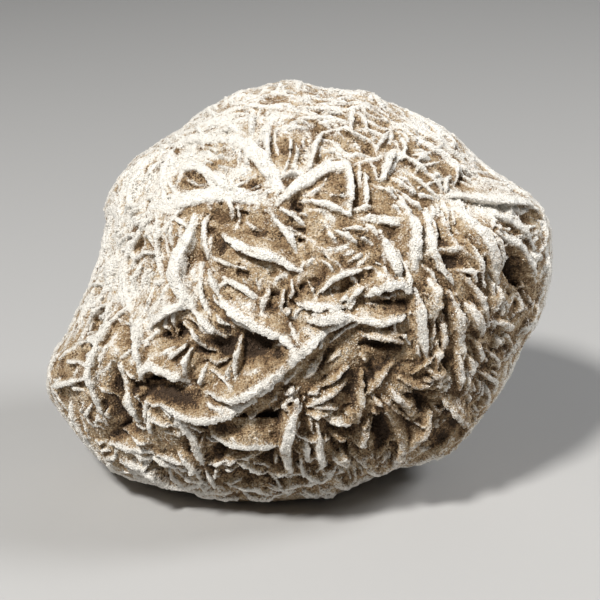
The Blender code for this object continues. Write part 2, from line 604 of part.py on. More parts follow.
def skin(crests):
    """Places on the envelope and the triangles between them, closed all round.

    The places are projected from the middle of the back onto a plane, which keeps circles round,
    so that the flat triangulation is also a good one on the body. The hull of the flat one is
    closed by a fan round one more vertex, in the middle of the back.
    """
    places, pairs = skin_places(crests)
    ways = places / np.linalg.norm(places, axis=1, keepdims=True)
    flat = ways[:, :2] / (1 + ways[:, 2:3])
    result = delaunay_2d_cdt([tuple(point) for point in flat.tolist()], pairs, [], 0, MERGE)
    flat = np.array([tuple(point) for point in result[0]])
    faces = [tuple(face) for face in result[2]]
    directed = set()
    for face in faces:
        for k in range(3):
            directed.add((face[k], face[(k + 1) % 3]))
    pole = len(flat)
    for a, b in sorted(directed):
        if (b, a) not in directed:
            faces.append((b, a, pole))
    square = np.sum(flat ** 2, axis=1, keepdims=True)
    ways = np.hstack([2 * flat, 1 - square]) / (1 + square)
    ways = np.vstack([ways, (0.0, 0.0, -1.0)])
    return ways * envelope(ways)[:, None], faces


def build_rose():
    crests = front_crests()
    crests += hidden_crests(crests)
    places, faces = skin(crests)
    rise = floor_height(places) + crest_height(places, crests)
    length = np.linalg.norm(places, axis=1)
    world = body_to_world(places * ((length + rise) / length)[:, None])
    world[np.abs(world[:, 2]) < REST_SNAP, 2] = 0

    body = bmesh.new()
    vertices = [body.verts.new(place) for place in world.tolist()]
    for face in faces:
        body.faces.new([vertices[k] for k in face])
    rest_flat(body)
    bmesh.ops.recalc_face_normals(body, faces=body.faces)
    mesh = bpy.data.meshes.new("sand_rose")
    body.to_mesh(mesh)
    body.free()
    rose = bpy.data.objects.new("sand_rose", mesh)
    bpy.context.scene.collection.objects.link(rose)
    rose.data.materials.append(gypsum())
    return rose


def rest_flat(body):
    """Cut the stone flat at height 0, where it rests."""
    geometry = list(body.verts) + list(body.edges) + list(body.faces)
    bmesh.ops.bisect_plane(body, geom=geometry, dist=0.000002, plane_co=(0, 0, 0),
                           plane_no=(0, 0, 1), clear_inner=True)
    rim = [edge for edge in body.edges if edge.is_boundary]
    filled = bmesh.ops.holes_fill(body, edges=rim, sides=0)
    bmesh.ops.triangulate(body, faces=filled["faces"])


def gypsum():
    material = bpy.data.materials.new("gypsum")
    material.use_nodes = True
    shader = material.node_tree.nodes["Principled BSDF"]
    shader.inputs["Base Color"].default_value = (0.62, 0.52, 0.40, 1)
    shader.inputs["Roughness"].default_value = 0.85
    shader.inputs["Metallic"].default_value = 0.0
    return material


def clear_scene():
    for item in list(bpy.data.objects):
        bpy.data.objects.remove(item, do_unlink=True)


clear_scene()
build_rose()
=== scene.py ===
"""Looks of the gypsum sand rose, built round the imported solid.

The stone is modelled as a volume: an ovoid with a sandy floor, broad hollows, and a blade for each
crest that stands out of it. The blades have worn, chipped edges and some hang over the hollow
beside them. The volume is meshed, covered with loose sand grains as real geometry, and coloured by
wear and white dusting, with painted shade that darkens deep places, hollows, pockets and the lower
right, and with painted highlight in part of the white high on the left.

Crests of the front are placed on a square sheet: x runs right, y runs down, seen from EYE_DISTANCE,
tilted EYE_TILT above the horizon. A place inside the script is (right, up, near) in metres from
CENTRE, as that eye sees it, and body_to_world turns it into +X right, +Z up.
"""

import math

import bpy
import numpy as np
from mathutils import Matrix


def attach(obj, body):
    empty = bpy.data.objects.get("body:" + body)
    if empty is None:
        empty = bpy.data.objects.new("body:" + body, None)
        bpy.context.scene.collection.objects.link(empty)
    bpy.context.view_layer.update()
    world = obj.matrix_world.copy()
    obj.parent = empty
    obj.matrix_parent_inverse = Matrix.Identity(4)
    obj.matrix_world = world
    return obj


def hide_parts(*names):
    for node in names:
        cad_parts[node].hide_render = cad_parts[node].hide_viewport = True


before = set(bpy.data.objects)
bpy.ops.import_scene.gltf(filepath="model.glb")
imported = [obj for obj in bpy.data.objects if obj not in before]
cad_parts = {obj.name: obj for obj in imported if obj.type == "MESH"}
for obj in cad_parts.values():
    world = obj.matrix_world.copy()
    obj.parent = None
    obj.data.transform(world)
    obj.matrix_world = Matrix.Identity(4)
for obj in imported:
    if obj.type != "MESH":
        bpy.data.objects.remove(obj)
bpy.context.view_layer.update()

import openvdb
from mathutils import Vector

# ---- the same body as the CAD part

MM = 0.001
SHEET_STEP = 0.00015            # one step of the front sheet: the stone is 76 mm wide
SHEET_MIDDLE = 300.0            # the sheet's x and y at the body's centre
CENTRE = (0.000085, 0.000145, 0.0285)
FRONT_DEPTH = 0.0300            # from the centre to the front, along the line of sight
BACK_DEPTH = 0.0290
ROUNDNESS = 2.2                 # exponent of the body's section: 2 is an ellipse
EYE_TILT = math.radians(18)
EYE_DISTANCE = 0.250
GROOVE = 0.0015                 # the sandy floor lies this far under the crests' envelope
REST_CLEAR = 0.0018             # no crest reaches below this height
TOP_SPACING = 0.0020            # between points along a crest

# How far crests stand out of the floor, in metres
LIP = 0.0023                    # and hang over the hollow beside them
PROUD = 0.0021
PLAIN = 0.0015
WORN = 0.0008
LOW_LIP = 0.0013                # for the blades sunk in the bay
LOW = 0.0010

OUTLINE = [
    (290, 79), (304, 82), (320, 87), (350, 90), (370, 90), (390, 102), (410, 110), (430, 120),
    (450, 131), (470, 150), (488, 168), (510, 181), (530, 194), (544, 209), (551, 226), (553, 250),
    (552, 275), (548, 294), (541, 318), (531, 335), (519, 356), (504, 388), (485, 415), (466, 438),
    (450, 454), (430, 462), (397, 468), (370, 479), (350, 490), (330, 499), (300, 501), (260, 503),
    (220, 502), (190, 494), (160, 487), (140, 482), (110, 471), (90, 451), (66, 422), (50, 400),
    (45, 383), (50, 358), (66, 334), (76, 312), (88, 287), (100, 255), (105, 222), (103, 208),
    (110, 190), (122, 173), (134, 158), (153, 146), (180, 129), (200, 112), (220, 100), (240, 90),
    (260, 86),
]

# Hollows and swellings of the front: sheet x and y, reach along and across the run, the run's
# turn in degrees (anticlockwise from the sheet's right), rise in millimetres.
FRONT_RELIEF = [
    (366, 380, 46, 26, 20, -1.1),  # the deep bay under the middle lip
    (325, 362, 26, 10, 40, -1.1),  # its left end, close under the lip
    (386, 345, 22, 6, -8, -1.0),  # slot at its top
    (164, 392, 30, 9, -10, -5.2),  # the cave at the lower left
    (114, 402, 10, 32, 10, -3.2),  # the long trough beside it
    (116, 437, 14, 9, 0, -1.6),  # the trough's foot
    (118, 338, 9, 18, 12, -1.3),  # and its shallow top
    (172, 334, 24, 8, 25, -1.8),  # under the left brow
    (212, 352, 20, 18, -30, -1.8),  # the pocket crossed by thin blades
    (262, 352, 32, 13, -28, -1.6),  # the triangular pocket under the long slash
    (222, 430, 26, 7, 0, -3.4),  # shelves down the foot
    (268, 428, 18, 10, 20, -1.8),
    (248, 459, 38, 7, 0, -4.0),
    (250, 484, 26, 6, 0, -3.0),
    (184, 450, 8, 12, 25, -1.8),
    (386, 438, 12, 13, 0, -4.0),  # the round cup
    (344, 436, 14, 6, -10, -2.2),
    (348, 455, 18, 5, -12, -2.2),
    (410, 432, 8, 14, 25, -1.8),
    (430, 400, 16, 6, 15, -2.4),
    (430, 412, 10, 6, 25, -1.8),
    (445, 440, 18, 12, 30, -1.6),  # the undercut corner
    (524, 276, 10, 24, 12, -2.4),  # the cup inside the right-hand arc
    (531, 214, 12, 5, -10, -1.6),  # under the shelf's tip
    (400, 306, 20, 7, 0, -2.2),  # under the right end of the middle ledge
    (338, 292, 24, 6, 30, -1.0),  # between the two feathered blades
    (275, 302, 12, 12, 0, -1.2),
    (452, 228, 12, 14, -20, -1.3),  # the right-hand windows
    (455, 262, 12, 10, 0, -1.2),
    (400, 246, 7, 18, 12, -1.2),
    (447, 310, 7, 22, 8, -1.2),
    (452, 366, 9, 16, 0, -1.3),
    (484, 192, 20, 6, -15, -1.0),  # above the shelf
    (468, 178, 8, 9, 0, -0.8),
    (344, 138, 24, 5, -18, -1.4),  # the brown strips of the crown
    (332, 124, 24, 3, 0, -1.0),
    (319, 152, 6, 6, 0, -0.9),
    (357, 192, 4, 18, 0, -0.9),
    (296, 202, 7, 10, 0, -1.3),
    (290, 178, 12, 5, 5, -1.0),
    (189, 181, 16, 9, 0, -1.1),  # the pockets of the brow
    (214, 147, 11, 4, 0, -0.7),
    (253, 184, 10, 7, 0, -0.9),
    (222, 213, 26, 7, -5, -1.2),  # the band below the brow
    (198, 248, 5, 16, 8, -1.4),
    (214, 240, 7, 10, 0, -1.1),
    (140, 243, 12, 8, 0, -0.9),
    (147, 264, 4, 8, -10, -0.7),
    (72, 357, 8, 6, 0, -0.9),
    (75, 390, 12, 6, 0, -0.9),
    (330, 318, 36, 8, 0, 1.2),       # the middle ledge swells towards the eye
    (240, 396, 36, 8, 15, 1.3),  # and so does the long lip below it
    (180, 285, 12, 26, 0, 1.0),
    (250, 150, 30, 22, -40, 0.8),
    (486, 245, 14, 40, -25, 1.0),
    (300, 345, 12, 12, 0, 1.2),
    (292, 430, 8, 34, 0, 0.9),
]

# The next tables have patches of the front in the same form. Steep-walled pits: depth in millimetres.
PITS = [
    (172, 397, 38, 13, -10, 4.6), (112, 403, 9, 29, 8, 2.8), (117, 437, 9, 8, 0, 1.6),
    (188, 360, 24, 13, -10, 0.6), (236, 362, 26, 20, -30, 0.5), (90, 330, 14, 26, -20, 1.0),
    (168, 334, 19, 10, 20, 1.1), (252, 334, 28, 9, -32, 0.6), (222, 430, 26, 8, -6, 1.9),
    (250, 459, 36, 9, 0, 2.6), (252, 484, 20, 8, -4, 2.0), (385, 347, 22, 5, 0, 0.7),
    (402, 306, 18, 7, 10, 1.3), (526, 275, 8, 24, 20, 1.8), (345, 434, 12, 7, 15, 1.8),
    (349, 455, 18, 6, 12, 1.9), (385, 436, 10, 12, 0, 2.0), (409, 436, 5, 11, 0, 1.4),
    (430, 399, 15, 5, 12, 1.4), (431, 409, 9, 5, 15, 1.2), (185, 452, 7, 12, 0, 1.7),
    (270, 301, 7, 11, 0, 0.9), (293, 299, 7, 12, 0, 0.9), (311, 284, 12, 7, 20, 1.0),
    (462, 424, 9, 19, 30, 1.5), (478, 470, 17, 7, 20, 1.6), (300, 484, 24, 7, 8, 1.6),
    (152, 470, 16, 7, -20, 1.4), (300, 445, 210, 62, 0, 0.5),
]

# White powder, with painted light: how much, from 1 down to bare and, below 0, darker sand. Later rows
# lie over earlier.
DUST_AND_PAINTED_LIGHT = [
    # the thick white high on the left is partly painted highlight
    (180, 160, 110, 62, 20, 0.78), (330, 98, 120, 34, -8, 0.30), (360, 150, 50, 24, -25, 0.22),
    (455, 150, 95, 26, -38, 0.55), (480, 205, 48, 16, -8, 0.80), (125, 262, 46, 90, 10, 0.64),
    (200, 275, 22, 40, -15, 0.40),
    (250, 262, 50, 20, -30, 0.15), (470, 260, 46, 26, -50, 0.00), (300, 165, 40, 12, 28, 0.60),
    (160, 475, 80, 26, -20, 0.36), (538, 265, 14, 60, -5, 0.30),
    (262, 246, 70, 40, 0, -0.08), (380, 240, 20, 50, -10, -0.08), (440, 290, 30, 60, -10, -0.10),
    # painted shade: darker sand in the recesses
    (190, 358, 24, 14, 0, -0.20), (172, 397, 40, 15, -10, -1.30), (250, 345, 40, 15, -32, -0.45),
    (112, 403, 12, 32, 8, -0.90), (222, 430, 26, 8, -6, -0.80), (250, 459, 38, 9, 0, -1.00),
    (252, 484, 24, 8, 0, -0.80), (470, 440, 52, 26, 35, -0.90), (526, 275, 8, 24, 20, -0.40),
    (386, 436, 11, 13, 0, -0.50), (346, 444, 18, 14, 0, -0.40), (445, 300, 7, 26, -10, -0.40),
    (430, 404, 18, 9, 14, -0.50), (386, 347, 20, 5, -8, -0.40), (400, 306, 20, 8, 8, -0.35),
    (172, 332, 20, 9, 20, -0.40), (185, 452, 8, 12, 0, -0.40), (300, 290, 40, 12, 20, -0.20),
    # smaller pockets, darker or paler than what is round them
    (189, 180, 18, 8, 10, -0.10), (215, 147, 12, 5, 0, -0.20), (174, 150, 8, 6, 0, -0.10),
    (152, 168, 9, 6, 20, -0.10), (254, 184, 11, 8, 0, -0.40), (232, 166, 8, 5, 0, -0.20),
    (212, 164, 10, 5, 0, -0.10), (215, 210, 30, 6, 5, -0.30), (140, 240, 7, 14, 10, -0.10),
    (276, 152, 28, 15, 20, 0.14), (320, 122, 30, 5, -4, 0.06),
    (345, 133, 24, 6, -10, 0.00), (384, 120, 14, 6, 0, 0.00), (437, 162, 6, 8, 0, 0.10),
    (455, 176, 16, 9, -30, 0.05), (372, 172, 18, 8, -20, 0.10), (268, 106, 12, 4, 0, 0.40),
]

# Few small blades: the share of them that is left out
BLADELESS = [
    (366, 378, 64, 46, 20, 1.0), (214, 360, 48, 30, -25, 0.8), (172, 397, 42, 18, -10, 1.0),
    (140, 452, 56, 30, -12, 0.95), (275, 245, 84, 46, 0, 0.70), (112, 398, 18, 44, 8, 0.8),
    (70, 388, 26, 62, 8, 0.85), (252, 458, 48, 14, 0, 1.0), (252, 484, 40, 9, 0, 0.9),
    (524, 276, 14, 30, 15, 1.0), (386, 436, 16, 18, 0, 1.0), (345, 446, 24, 18, 0, 0.8),
    (276, 150, 30, 16, 20, 0.7), (330, 189, 20, 16, 30, 0.9), (438, 420, 40, 26, 30, 0.6),
]
CRUMBLY = [(275, 245, 85, 48, 0, 1.0)]          # pitted and crumbly rather than bladed
SHADED_EDGE_PATCHES = [(395, 410, 105, 78, 0, 1.0), (485, 310, 62, 90, 0, 0.75)]   # edges are painted less white here, as shade low on the right and on the right flank

# Lumps and hollows of the hidden sides: bearing in degrees clockwise from the front as seen from
# above, height angle, reach in degrees, rise in millimetres.
HIDDEN_RELIEF = [
    (78, 30, 18, 1.2), (95, -8, 17, -1.8), (112, 30, 15, 1.6), (120, -35, 18, 1.2),
    (134, 2, 17, 1.5), (146, 50, 16, -1.7), (160, 22, 17, 1.7), (168, -22, 17, -1.9),
    (186, 48, 16, 1.2), (190, 5, 18, 1.6), (205, -38, 18, 1.2), (212, 28, 16, -1.8),
    (228, -6, 18, 1.8), (238, 48, 17, 1.4), (252, 14, 15, -1.7), (262, -30, 17, 1.3),
    (275, 34, 17, 1.3), (0, 76, 17, 0.8), (100, 64, 15, -1.4), (255, 72, 15, -1.0),
    (180, 76, 14, 1.0), (145, -20, 12, 0.9), (222, 10, 10, 0.7), (110, 8, 10, 0.9),
]

# Families of crests on the hidden sides: bearing and height angle of the middle, and the way
# that its crests run in degrees (0 is level, 90 upright).
HIDDEN_FAMILIES = [
    (75, 55, 20), (90, 15, 105), (92, -30, 70), (118, 45, 50), (124, -5, 80), (128, -45, 140),
    (150, 18, 25), (152, -22, 115), (158, 60, 95), (180, 35, 130), (184, -2, 60), (188, -42, 10),
    (212, 15, 85), (215, -22, 30), (222, 55, 155), (240, 30, 65), (245, -5, 120), (250, -42, 50),
    (268, 18, 95), (272, 55, 30), (275, -20, 75), (330, 75, 15), (30, 78, 60),
]
HIDDEN_SEED = 11
HIDDEN_TRIES = 4200             # candidate crests, most of which find no room
HIDDEN_ROOM = 0.0023            # least distance between the middles of two crests
HIDDEN_LENGTH = (0.0070, 0.0180)
HIDDEN_SHORTEST = 0.0050
HIDDEN_POINTS = 9               # along a candidate crest
HIDDEN_STAND = (0.0010, 0.0019)
HIDDEN_WIDTH = (0.0005, 0.0012)
HIDDEN_EDGE = 0.0090            # hidden crests stay farther from the eye than this
CROSSING_SHARE = 0.12           # of hidden crests that cut across their family
FAMILY_SPREAD = 0.22            # of the directions in a family, in radians
CROSSING_SPREAD = 0.3


# Crests of the front: width of the worn edge in millimetres, how it stands, and its course.
FRONT_CRESTS = [
    # brow
    (1.05, PLAIN, (170, 188), (176, 176), (186, 166), (198, 166), (207, 175), (212, 190)),
    (0.90, PLAIN, (163, 203), (160, 182), (165, 162), (173, 147), (190, 138)),
    (0.75, PLAIN, (124, 208), (130, 187), (140, 169), (152, 155), (166, 146)),
    (2.60, WORN, (148, 203), (175, 200), (200, 194), (222, 191), (242, 194), (262, 198), (276, 199)),
    (2.40, WORN, (228, 136), (243, 143), (256, 155), (267, 168), (276, 180), (284, 189)),
    (1.50, PLAIN, (172, 145), (190, 139), (210, 138), (228, 139)),
    (0.90, PLAIN, (190, 160), (203, 167), (212, 176), (222, 184), (235, 190)),
    (0.75, WORN, (200, 120), (220, 110), (245, 104), (270, 104), (300, 108)),
    (0.50, WORN, (150, 160), (165, 148), (183, 138), (202, 127)),
    (0.50, WORN, (184, 130), (200, 123), (222, 114), (246, 110)),
    (0.50, WORN, (226, 121), (246, 116), (270, 114), (290, 113)),
    (0.45, WORN, (118, 192), (126, 176), (137, 163), (150, 152)),
    (0.45, WORN, (206, 132), (220, 127), (240, 124)),
    (0.45, WORN, (240, 97), (262, 94), (290, 93), (312, 97)),
    # crown
    (0.60, PROUD, (252, 110), (252, 125), (251, 141)),
    (0.60, PROUD, (267, 128), (268, 142), (269, 156)),
    (0.67, PROUD, (324, 128), (316, 146), (310, 165)),
    (1.80, PLAIN, (274, 203), (290, 189), (310, 176), (330, 165), (349, 160)),
    (0.90, PROUD, (349, 160), (351, 185), (352, 213)),
    (0.90, PLAIN, (300, 197), (320, 201), (338, 207), (352, 213)),
    (0.90, PLAIN, (298, 116), (325, 117), (351, 120)),
    (0.60, PLAIN, (352, 108), (352, 118), (353, 128)),
    (0.75, PLAIN, (322, 128), (340, 127), (354, 132), (370, 139), (378, 144)),
    (0.45, PLAIN, (320, 143), (334, 149), (347, 157)),
    (0.60, PLAIN, (388, 131), (382, 140), (377, 149)),
    (0.60, WORN, (300, 104), (322, 106), (346, 109)),
    (0.60, WORN, (270, 100), (290, 104), (310, 110)),
    (0.45, PLAIN, (278, 175), (290, 171), (303, 170)),
    (0.60, WORN, (355, 125), (372, 128), (390, 133)),
    (0.60, PLAIN, (366, 165), (367, 185), (368, 208)),
    (1.05, PROUD, (396, 147), (389, 160), (385, 176)),
    (0.75, PLAIN, (378, 183), (388, 188), (398, 194)),
    # right shoulder
    (0.90, WORN, (405, 118), (430, 132), (452, 146), (470, 160)),
    (0.75, WORN, (380, 110), (405, 125), (430, 142), (450, 155), (463, 168)),
    (0.75, PLAIN, (400, 150), (415, 160), (430, 172), (445, 185)),
    (1.35, LIP, (452, 194), (475, 198), (500, 203), (525, 203), (544, 208)),
    (0.75, PLAIN, (497, 179), (512, 184), (526, 191), (538, 203)),
    (0.60, PLAIN, (450, 150), (456, 161), (466, 171), (478, 180)),
    (0.60, PLAIN, (440, 168), (447, 180), (452, 192)),
    # right flank
    (1.35, PROUD, (402, 201), (411, 213), (415, 228), (417, 246), (418, 268)),
    (1.50, PROUD, (383, 230), (386, 242), (392, 256), (399, 272), (403, 281)),
    (1.05, PLAIN, (430, 205), (433, 225), (434, 246), (440, 260), (448, 273), (457, 284)),
    (1.35, PROUD, (453, 290), (457, 308), (460, 322), (464, 338), (466, 353)),
    (1.20, PROUD, (432, 279), (438, 289), (440, 302), (439, 321)),
    (1.35, PLAIN, (419, 288), (423, 306), (424, 326), (427, 346), (431, 360)),
    (1.20, PROUD, (470, 303), (474, 312), (480, 324), (487, 338)),
    (0.75, PLAIN, (463, 270), (468, 278), (475, 285), (483, 300), (491, 317), (496, 328)),
    (1.80, PROUD, (462, 205), (470, 220), (480, 236), (488, 251), (495, 265), (503, 281)),
    (0.75, PLAIN, (489, 229), (497, 243), (503, 257), (508, 269)),
    (0.90, PROUD, (498, 232), (510, 238), (521, 246), (530, 258), (537, 270), (541, 282)),
    (0.75, PLAIN, (513, 270), (519, 281), (524, 293), (526, 305), (519, 318)),
    (0.90, PLAIN, (503, 288), (504, 299), (503, 311)),
    (1.05, PLAIN, (486, 212), (500, 216), (518, 224), (532, 236), (539, 248)),
    (0.60, PLAIN, (543, 214), (548, 228), (548, 246)),
    (0.60, PLAIN, (549, 252), (551, 272), (548, 290)),
    (0.60, PLAIN, (541, 300), (539, 315), (530, 328), (524, 340)),
    (0.60, PLAIN, (492, 352), (500, 362), (503, 372)),
    (0.60, PLAIN, (512, 336), (514, 348), (510, 362)),
    (0.75, PLAIN, (443, 247), (455, 249), (468, 246)),
    (0.75, PLAIN, (497, 322), (508, 326), (517, 331)),
    (0.75, PLAIN, (446, 206), (450, 222), (457, 238), (464, 254)),
    (0.60, PLAIN, (470, 240), (476, 256), (484, 272), (490, 286)),
    (0.75, PLAIN, (409, 266), (412, 280), (412, 294)),
    (0.75, PLAIN, (445, 306), (448, 322), (449, 340), (450, 356)),
    (0.60, PLAIN, (476, 338), (482, 351), (487, 366)),
    (0.60, PLAIN, (440, 342), (443, 356), (441, 372)),
    (0.60, PLAIN, (470, 352), (474, 366), (476, 380)),
    (0.60, PLAIN, (395, 236), (402, 250), (407, 262)),
    # middle
    (1.35, LIP, (220, 234), (234, 245), (250, 253), (268, 257), (283, 263), (296, 271)),
    (0.75, PLAIN, (268, 205), (275, 220), (284, 229), (292, 240), (297, 251)),
    (0.75, PLAIN, (280, 207), (292, 214), (303, 222)),
    (1.05, PLAIN, (222, 277), (236, 285), (249, 294), (261, 302)),
    (0.90, PROUD, (268, 290), (264, 301), (261, 315)),
    (0.53, PROUD, (284, 290), (282, 301), (280, 313)),
    (1.05, LIP, (298, 305), (316, 308), (345, 309)),
    (0.60, PROUD, (372, 267), (355, 272), (338, 277), (329, 284), (320, 294), (312, 302)),
    (0.53, PROUD, (370, 284), (360, 290), (354, 297), (347, 305)),
    (0.45, PLAIN, (322, 259), (328, 263), (335, 271)),
    (1.35, LIP, (368, 297), (384, 290), (398, 286), (411, 293)),
    (1.35, WORN, (357, 214), (376, 217), (396, 220), (412, 226)),
    (0.90, PLAIN, (338, 229), (347, 234), (357, 240)),
    (0.75, PLAIN, (205, 270), (212, 284), (217, 297)),
    (1.20, LIP, (216, 296), (222, 305), (235, 315), (250, 325), (264, 332), (279, 339), (292, 348),
     (301, 353)),
    (1.35, LIP, (205, 397), (225, 400), (245, 395), (262, 386), (278, 375), (292, 363), (303, 351),
     (318, 340), (331, 330), (345, 323), (353, 320)),
    (0.90, LIP, (353, 320), (368, 322), (384, 325), (397, 321), (407, 318)),
    (1.50, PLAIN, (310, 322), (330, 320), (350, 317)),
    (0.53, LIP, (365, 338), (385, 340), (406, 345)),
    (0.45, PLAIN, (285, 317), (292, 310)),
    (0.53, PLAIN, (204, 215), (203, 235), (205, 255)),
    # left flank
    (1.80, PROUD, (192, 214), (189, 233), (183, 250), (178, 268), (180, 288), (190, 308)),
    (1.05, LIP, (190, 308), (173, 311), (158, 320), (146, 328)),
    (0.90, PROUD, (135, 316), (136, 334), (138, 352), (139, 367), (134, 380)),
    (0.75, PLAIN, (190, 310), (199, 320), (210, 331), (222, 340)),
    (0.60, PLAIN, (178, 322), (189, 336), (200, 350), (213, 358)),
    (0.75, PLAIN, (152, 212), (156, 235), (155, 256), (157, 275)),
    (0.90, PLAIN, (146, 216), (137, 231), (128, 246), (122, 262), (121, 285), (123, 308)),
    (0.60, PLAIN, (140, 258), (134, 272), (131, 290)),
    (0.60, PLAIN, (151, 269), (146, 278), (143, 289)),
    (0.90, PROUD, (123, 308), (108, 320), (101, 336), (94, 352), (89, 370), (90, 386), (96, 402),
     (101, 425)),
    (0.60, PLAIN, (101, 303), (91, 314), (83, 329)),
    (0.75, PLAIN, (113, 256), (107, 268), (101, 285)),
    (0.53, PLAIN, (83, 334), (90, 342), (94, 350)),
    (0.75, PLAIN, (48, 388), (62, 385), (80, 381)),
    (1.05, PROUD, (114, 366), (118, 384), (124, 398), (130, 412), (133, 425)),
    (0.90, LIP, (134, 383), (142, 373), (152, 366), (166, 373), (178, 379), (186, 390), (192, 400)),
    (0.45, PROUD, (188, 350), (185, 363), (183, 376)),
    (0.53, PLAIN, (183, 347), (172, 355), (160, 366)),
    (0.60, PLAIN, (202, 363), (214, 366), (227, 362)),
    (0.75, PROUD, (239, 334), (236, 350), (234, 366), (234, 381)),
    (0.60, WORN, (168, 222), (168, 242)),
    # left foot
    (0.60, PLAIN, (200, 401), (210, 408), (225, 410), (241, 408), (255, 402)),
    (1.05, LIP, (150, 409), (166, 409), (180, 416), (195, 420), (208, 421), (225, 417), (240, 411),
     (256, 402)),
    (1.20, PLAIN, (173, 428), (183, 434), (190, 446), (195, 460), (200, 472)),
    (0.90, LIP, (211, 441), (228, 446), (254, 447), (284, 449)),
    (1.50, PROUD, (297, 402), (294, 418), (289, 433), (286, 448), (287, 463), (291, 477)),
    (0.60, PLAIN, (219, 471), (234, 467), (255, 466), (272, 462)),
    (0.53, PLAIN, (235, 470), (250, 474), (265, 479), (275, 487), (284, 494)),
    (0.90, LIP, (120, 467), (140, 470), (155, 476), (167, 484), (182, 489), (200, 490)),
    (0.75, PLAIN, (176, 461), (187, 468), (197, 479)),
    (0.60, PLAIN, (228, 492), (250, 493), (270, 497), (288, 496)),
    (0.45, PLAIN, (265, 478), (280, 477), (292, 478)),
    (0.90, WORN, (105, 448), (125, 455), (150, 460)),
    (0.45, PLAIN, (276, 458), (275, 470)),
    # right foot
    (0.90, LOW, (304, 385), (312, 374), (321, 362), (328, 350)),
    (0.45, LOW, (327, 369), (334, 363), (342, 357)),
    (0.53, LOW_LIP, (319, 393), (331, 388), (342, 380), (351, 371)),
    (0.45, LOW, (310, 399), (317, 396), (324, 392)),
    (0.75, LOW_LIP, (309, 412), (322, 404), (336, 396), (351, 388)),
    (0.60, PLAIN, (305, 419), (318, 419), (333, 419)),
    (0.67, LOW_LIP, (329, 427), (345, 427), (361, 428)),
    (0.75, LOW, (368, 378), (366, 392), (365, 406), (362, 420), (361, 430)),
    (0.60, LOW, (400, 366), (390, 377), (380, 389), (371, 401)),
    (0.90, PLAIN, (319, 430), (320, 446), (322, 461), (324, 476)),
    (0.75, PLAIN, (306, 441), (308, 456), (308, 468)),
    (0.53, PLAIN, (376, 428), (369, 437), (362, 446), (370, 452)),
    (0.75, PLAIN, (299, 473), (307, 480), (318, 484), (330, 480), (339, 472)),
    (0.90, LIP, (353, 461), (363, 466), (373, 473), (381, 475), (391, 470), (398, 456), (401, 440),
     (396, 427), (388, 417)),
    (0.60, LOW_LIP, (401, 382), (411, 387), (421, 391), (431, 388), (441, 381)),
    (0.60, PLAIN, (431, 370), (438, 378), (447, 380), (448, 364)),
    (0.90, LOW, (396, 393), (400, 402), (409, 409), (421, 412)),
    (0.75, PROUD, (401, 456), (412, 449), (421, 440), (430, 430), (436, 417)),
    (0.90, LIP, (446, 403), (452, 414), (461, 422), (472, 428)),
    (0.45, PLAIN, (456, 405), (464, 413), (470, 418)),
    (0.75, PLAIN, (463, 352), (463, 366), (464, 380), (465, 392)),
    (0.45, PLAIN, (472, 371), (470, 386), (468, 399)),
    (0.75, PLAIN, (491, 388), (488, 400), (483, 411)),
    (0.60, PLAIN, (484, 374), (493, 379), (502, 389)),
    (0.75, PLAIN, (338, 484), (349, 487), (358, 485)),
    (0.60, PLAIN, (335, 463), (345, 467), (353, 470)),
    (0.45, PLAIN, (332, 440), (343, 444), (352, 446)),
    (0.45, PLAIN, (437, 440), (444, 430), (452, 424)),
    (0.38, PLAIN, (363, 357), (369, 365)),
]

# ---- looks only, in metres

VOXEL = 0.00025                 # of the volume that the stone is modelled in
FRONT_FADE = 0.006              # nearness at which the tables of the front apply in full
RIM = 0.0070                    # nearness at which the outline's evened rim ends
RIM_EVENED = 0.60               # share of the relief that is evened out there
VOLUME_REACH = (0.0405, 0.0330, 0.0340)
OUTERMOST = 0.985               # share of the outline's radius that a front crest may reach
SHELL_IN = 0.0075               # the volume is worked out this far inside the envelope
SHELL_OUT = 0.0030              # and this far outside
BLADE_REACH = 0.0034            # how far from its crest a blade is worked out
EDGE_ROUND = 0.00014            # radius that wear gives to a blade's edges
SUNKEN = 0.0014                 # blades that stand up less than this lean little
FILLET = 0.00028                # sand banked up where a blade meets the floor
CHIP = 0.00014                  # spread of the heights of a blade's chipped edge
CHIP_SEED = 3
HANG = (-0.05, 0.25)            # a blade's lower side leans in under its edge by this
LIP_HANG = (0.35, 0.55)         # and a lip's by this, both per unit of depth
BACK = (0.05, 0.35)             # a blade's upper side runs out by this
RIM_TOP = -0.00005              # height over the envelope that no blade passes at the outline
BARE_STAND = 0.0035             # blades that stand up more are barer of sand
SLOPE_STEP = 0.0004             # the envelope's slope beside a blade is measured over this
STEEPEST = 1.2                  # and followed no more steeply than this
SLOPE_REACH = 0.001             # nor farther than this
BLADE_DEPTH = 0.0035            # a blade's sides lean down to this depth under its edge
UNDER_LEAN = 0.06               # lean of its lower side
EDGE_BAND = (0.0009, 0.0004)    # how deep and how far aside a worn edge reaches
BANK_BAND = (0.0018, 0.0017)    # and the powder banked up on it
BANKED = 0.36                   # of an edge's wear
BLADE_SKIN = 0.0012             # blades are rough this near their surface

